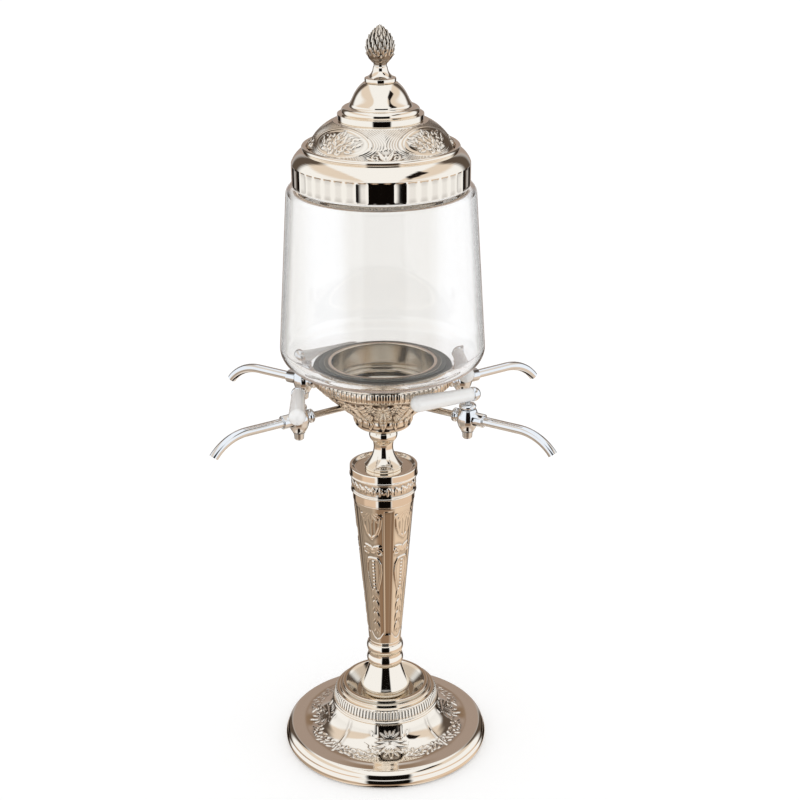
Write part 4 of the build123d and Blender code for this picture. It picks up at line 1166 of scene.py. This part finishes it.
def studio_world():
    """White studio as polished metal shows it, with a dark camera, dim corners and a brown table."""
    world = bpy.data.worlds.new("studio")
    tree = emptied(world)
    way = add(tree, "ShaderNodeTexCoord").outputs["Generated"]
    axes = add(tree, "ShaderNodeSeparateXYZ", {"Vector": way}).outputs
    towards = maths(tree, "MULTIPLY", axes["Y"], -1.0)
    azimuth = maths(tree, "DEGREES", maths(tree, "ARCTAN2", axes["X"], towards))
    level = maths(tree, "MAXIMUM", maths(tree, "ABSOLUTE", axes["Z"]), FLATTEST)
    lean = maths(tree, "DIVIDE", axes["X"], level)
    measures = {
        "azimuth": azimuth,
        "aside": maths(tree, "ABSOLUTE", azimuth),
        "up": maths(tree, "DEGREES", maths(tree, "ARCSINE", axes["Z"])),
        "lean": lean,
        "slant": maths(tree, "ABSOLUTE", lean),
    }
    shade = linear(LIT)
    for code, bounds in PATCHES.values():
        masks = [bound(tree, measures[measure], *limits) for measure, limits in bounds.items()]
        mask = reduce(lambda first, second: maths(tree, "MULTIPLY", first, second), masks)
        shade = mixed(tree, mask, shade, linear(code))
    white = (1, 1, 1)
    path = add(tree, "ShaderNodeLightPath").outputs
    paler = mixed(tree, STUDIO_IN_GLASS, white, shade)
    seen_in_glass = mixed(tree, path["Is Transmission Ray"], white, paler)
    studio = mixed(tree, path["Is Glossy Ray"], seen_in_glass, shade)
    strength = maths(tree, "MULTIPLY_ADD", path["Is Glossy Ray"], GLOSS_LIFT, 1.0)
    sky = add(tree, "ShaderNodeBackground", {"Color": studio, "Strength": strength})
    add(tree, "ShaderNodeOutputWorld", {"Surface": sky.outputs["Background"]})
    return world


class FOUNTAIN_OT_stage(Operator):
    """Set up the camera, floor and light"""

    bl_idname = "fountain.stage"
    bl_label = "Stage"

    def execute(self, context):
        scene = context.scene
        stage = scene.fountain_stage
        camera = placed("camera", bpy.data.cameras.new("camera"))
        camera.data.lens = stage.lens
        camera.data.clip_end = CLIP_END
        turn = Matrix.Rotation(stage.heading, 4, "Z") @ Matrix.Rotation(math.pi / 2 - stage.tilt, 4, "X")
        camera.matrix_world = Matrix.Translation(stage.camera) @ turn @ Matrix.Rotation(stage.roll, 4, "Z")
        scene.camera = camera
        half = stage.floor
        corners = [(-half, -half, 0), (half, -half, 0), (half, half, 0), (-half, half, 0)]
        floor = mesh_object("floor", corners, [(0, 1, 2, 3)], floor_material())
        floor.visible_glossy = False
        scene.world = studio_world()
        scene.view_settings.view_transform = "Standard"
        return {"FINISHED"}


class FOUNTAIN_PT_panel(Panel):
    """Sidebar panel of the fountain"""

    bl_label = "Table fountain"
    bl_space_type = "VIEW_3D"
    bl_region_type = "UI"
    bl_category = "Fountain"

    def draw(self, context):
        for key, group in GROUPS.items():
            box = self.layout.box()
            for name in group.__annotations__:
                box.prop(getattr(context.scene, key), name)
        for step in STEPS:
            self.layout.operator(step.bl_idname)


GROUPS = {
    "fountain_finish": FountainFinish,
    "fountain_ornament": FountainOrnament,
    "fountain_stage": FountainStage,
}
STEPS = (
    FOUNTAIN_OT_stage,
    FOUNTAIN_OT_base,
    FOUNTAIN_OT_stem,
    FOUNTAIN_OT_cup,
    FOUNTAIN_OT_jar,
    FOUNTAIN_OT_lid,
    FOUNTAIN_OT_finial,
    FOUNTAIN_OT_taps,
)


def register():
    """Register the settings, operators and panel."""
    for kind in (*GROUPS.values(), *STEPS, FOUNTAIN_PT_panel):
        bpy.utils.register_class(kind)
    for name, group in GROUPS.items():
        setattr(bpy.types.Scene, name, PointerProperty(type=group))


def unregister():
    """Take the settings, operators and panel out again."""
    for name in GROUPS:
        delattr(bpy.types.Scene, name)
    for kind in (FOUNTAIN_PT_panel, *reversed(STEPS), *reversed(GROUPS.values())):
        bpy.utils.unregister_class(kind)


def main():
    """Build the whole scene."""
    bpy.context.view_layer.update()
    register()
    for step in STEPS:
        getattr(bpy.ops.fountain, step.bl_label.lower())()


if __name__ == "__main__":
    main()
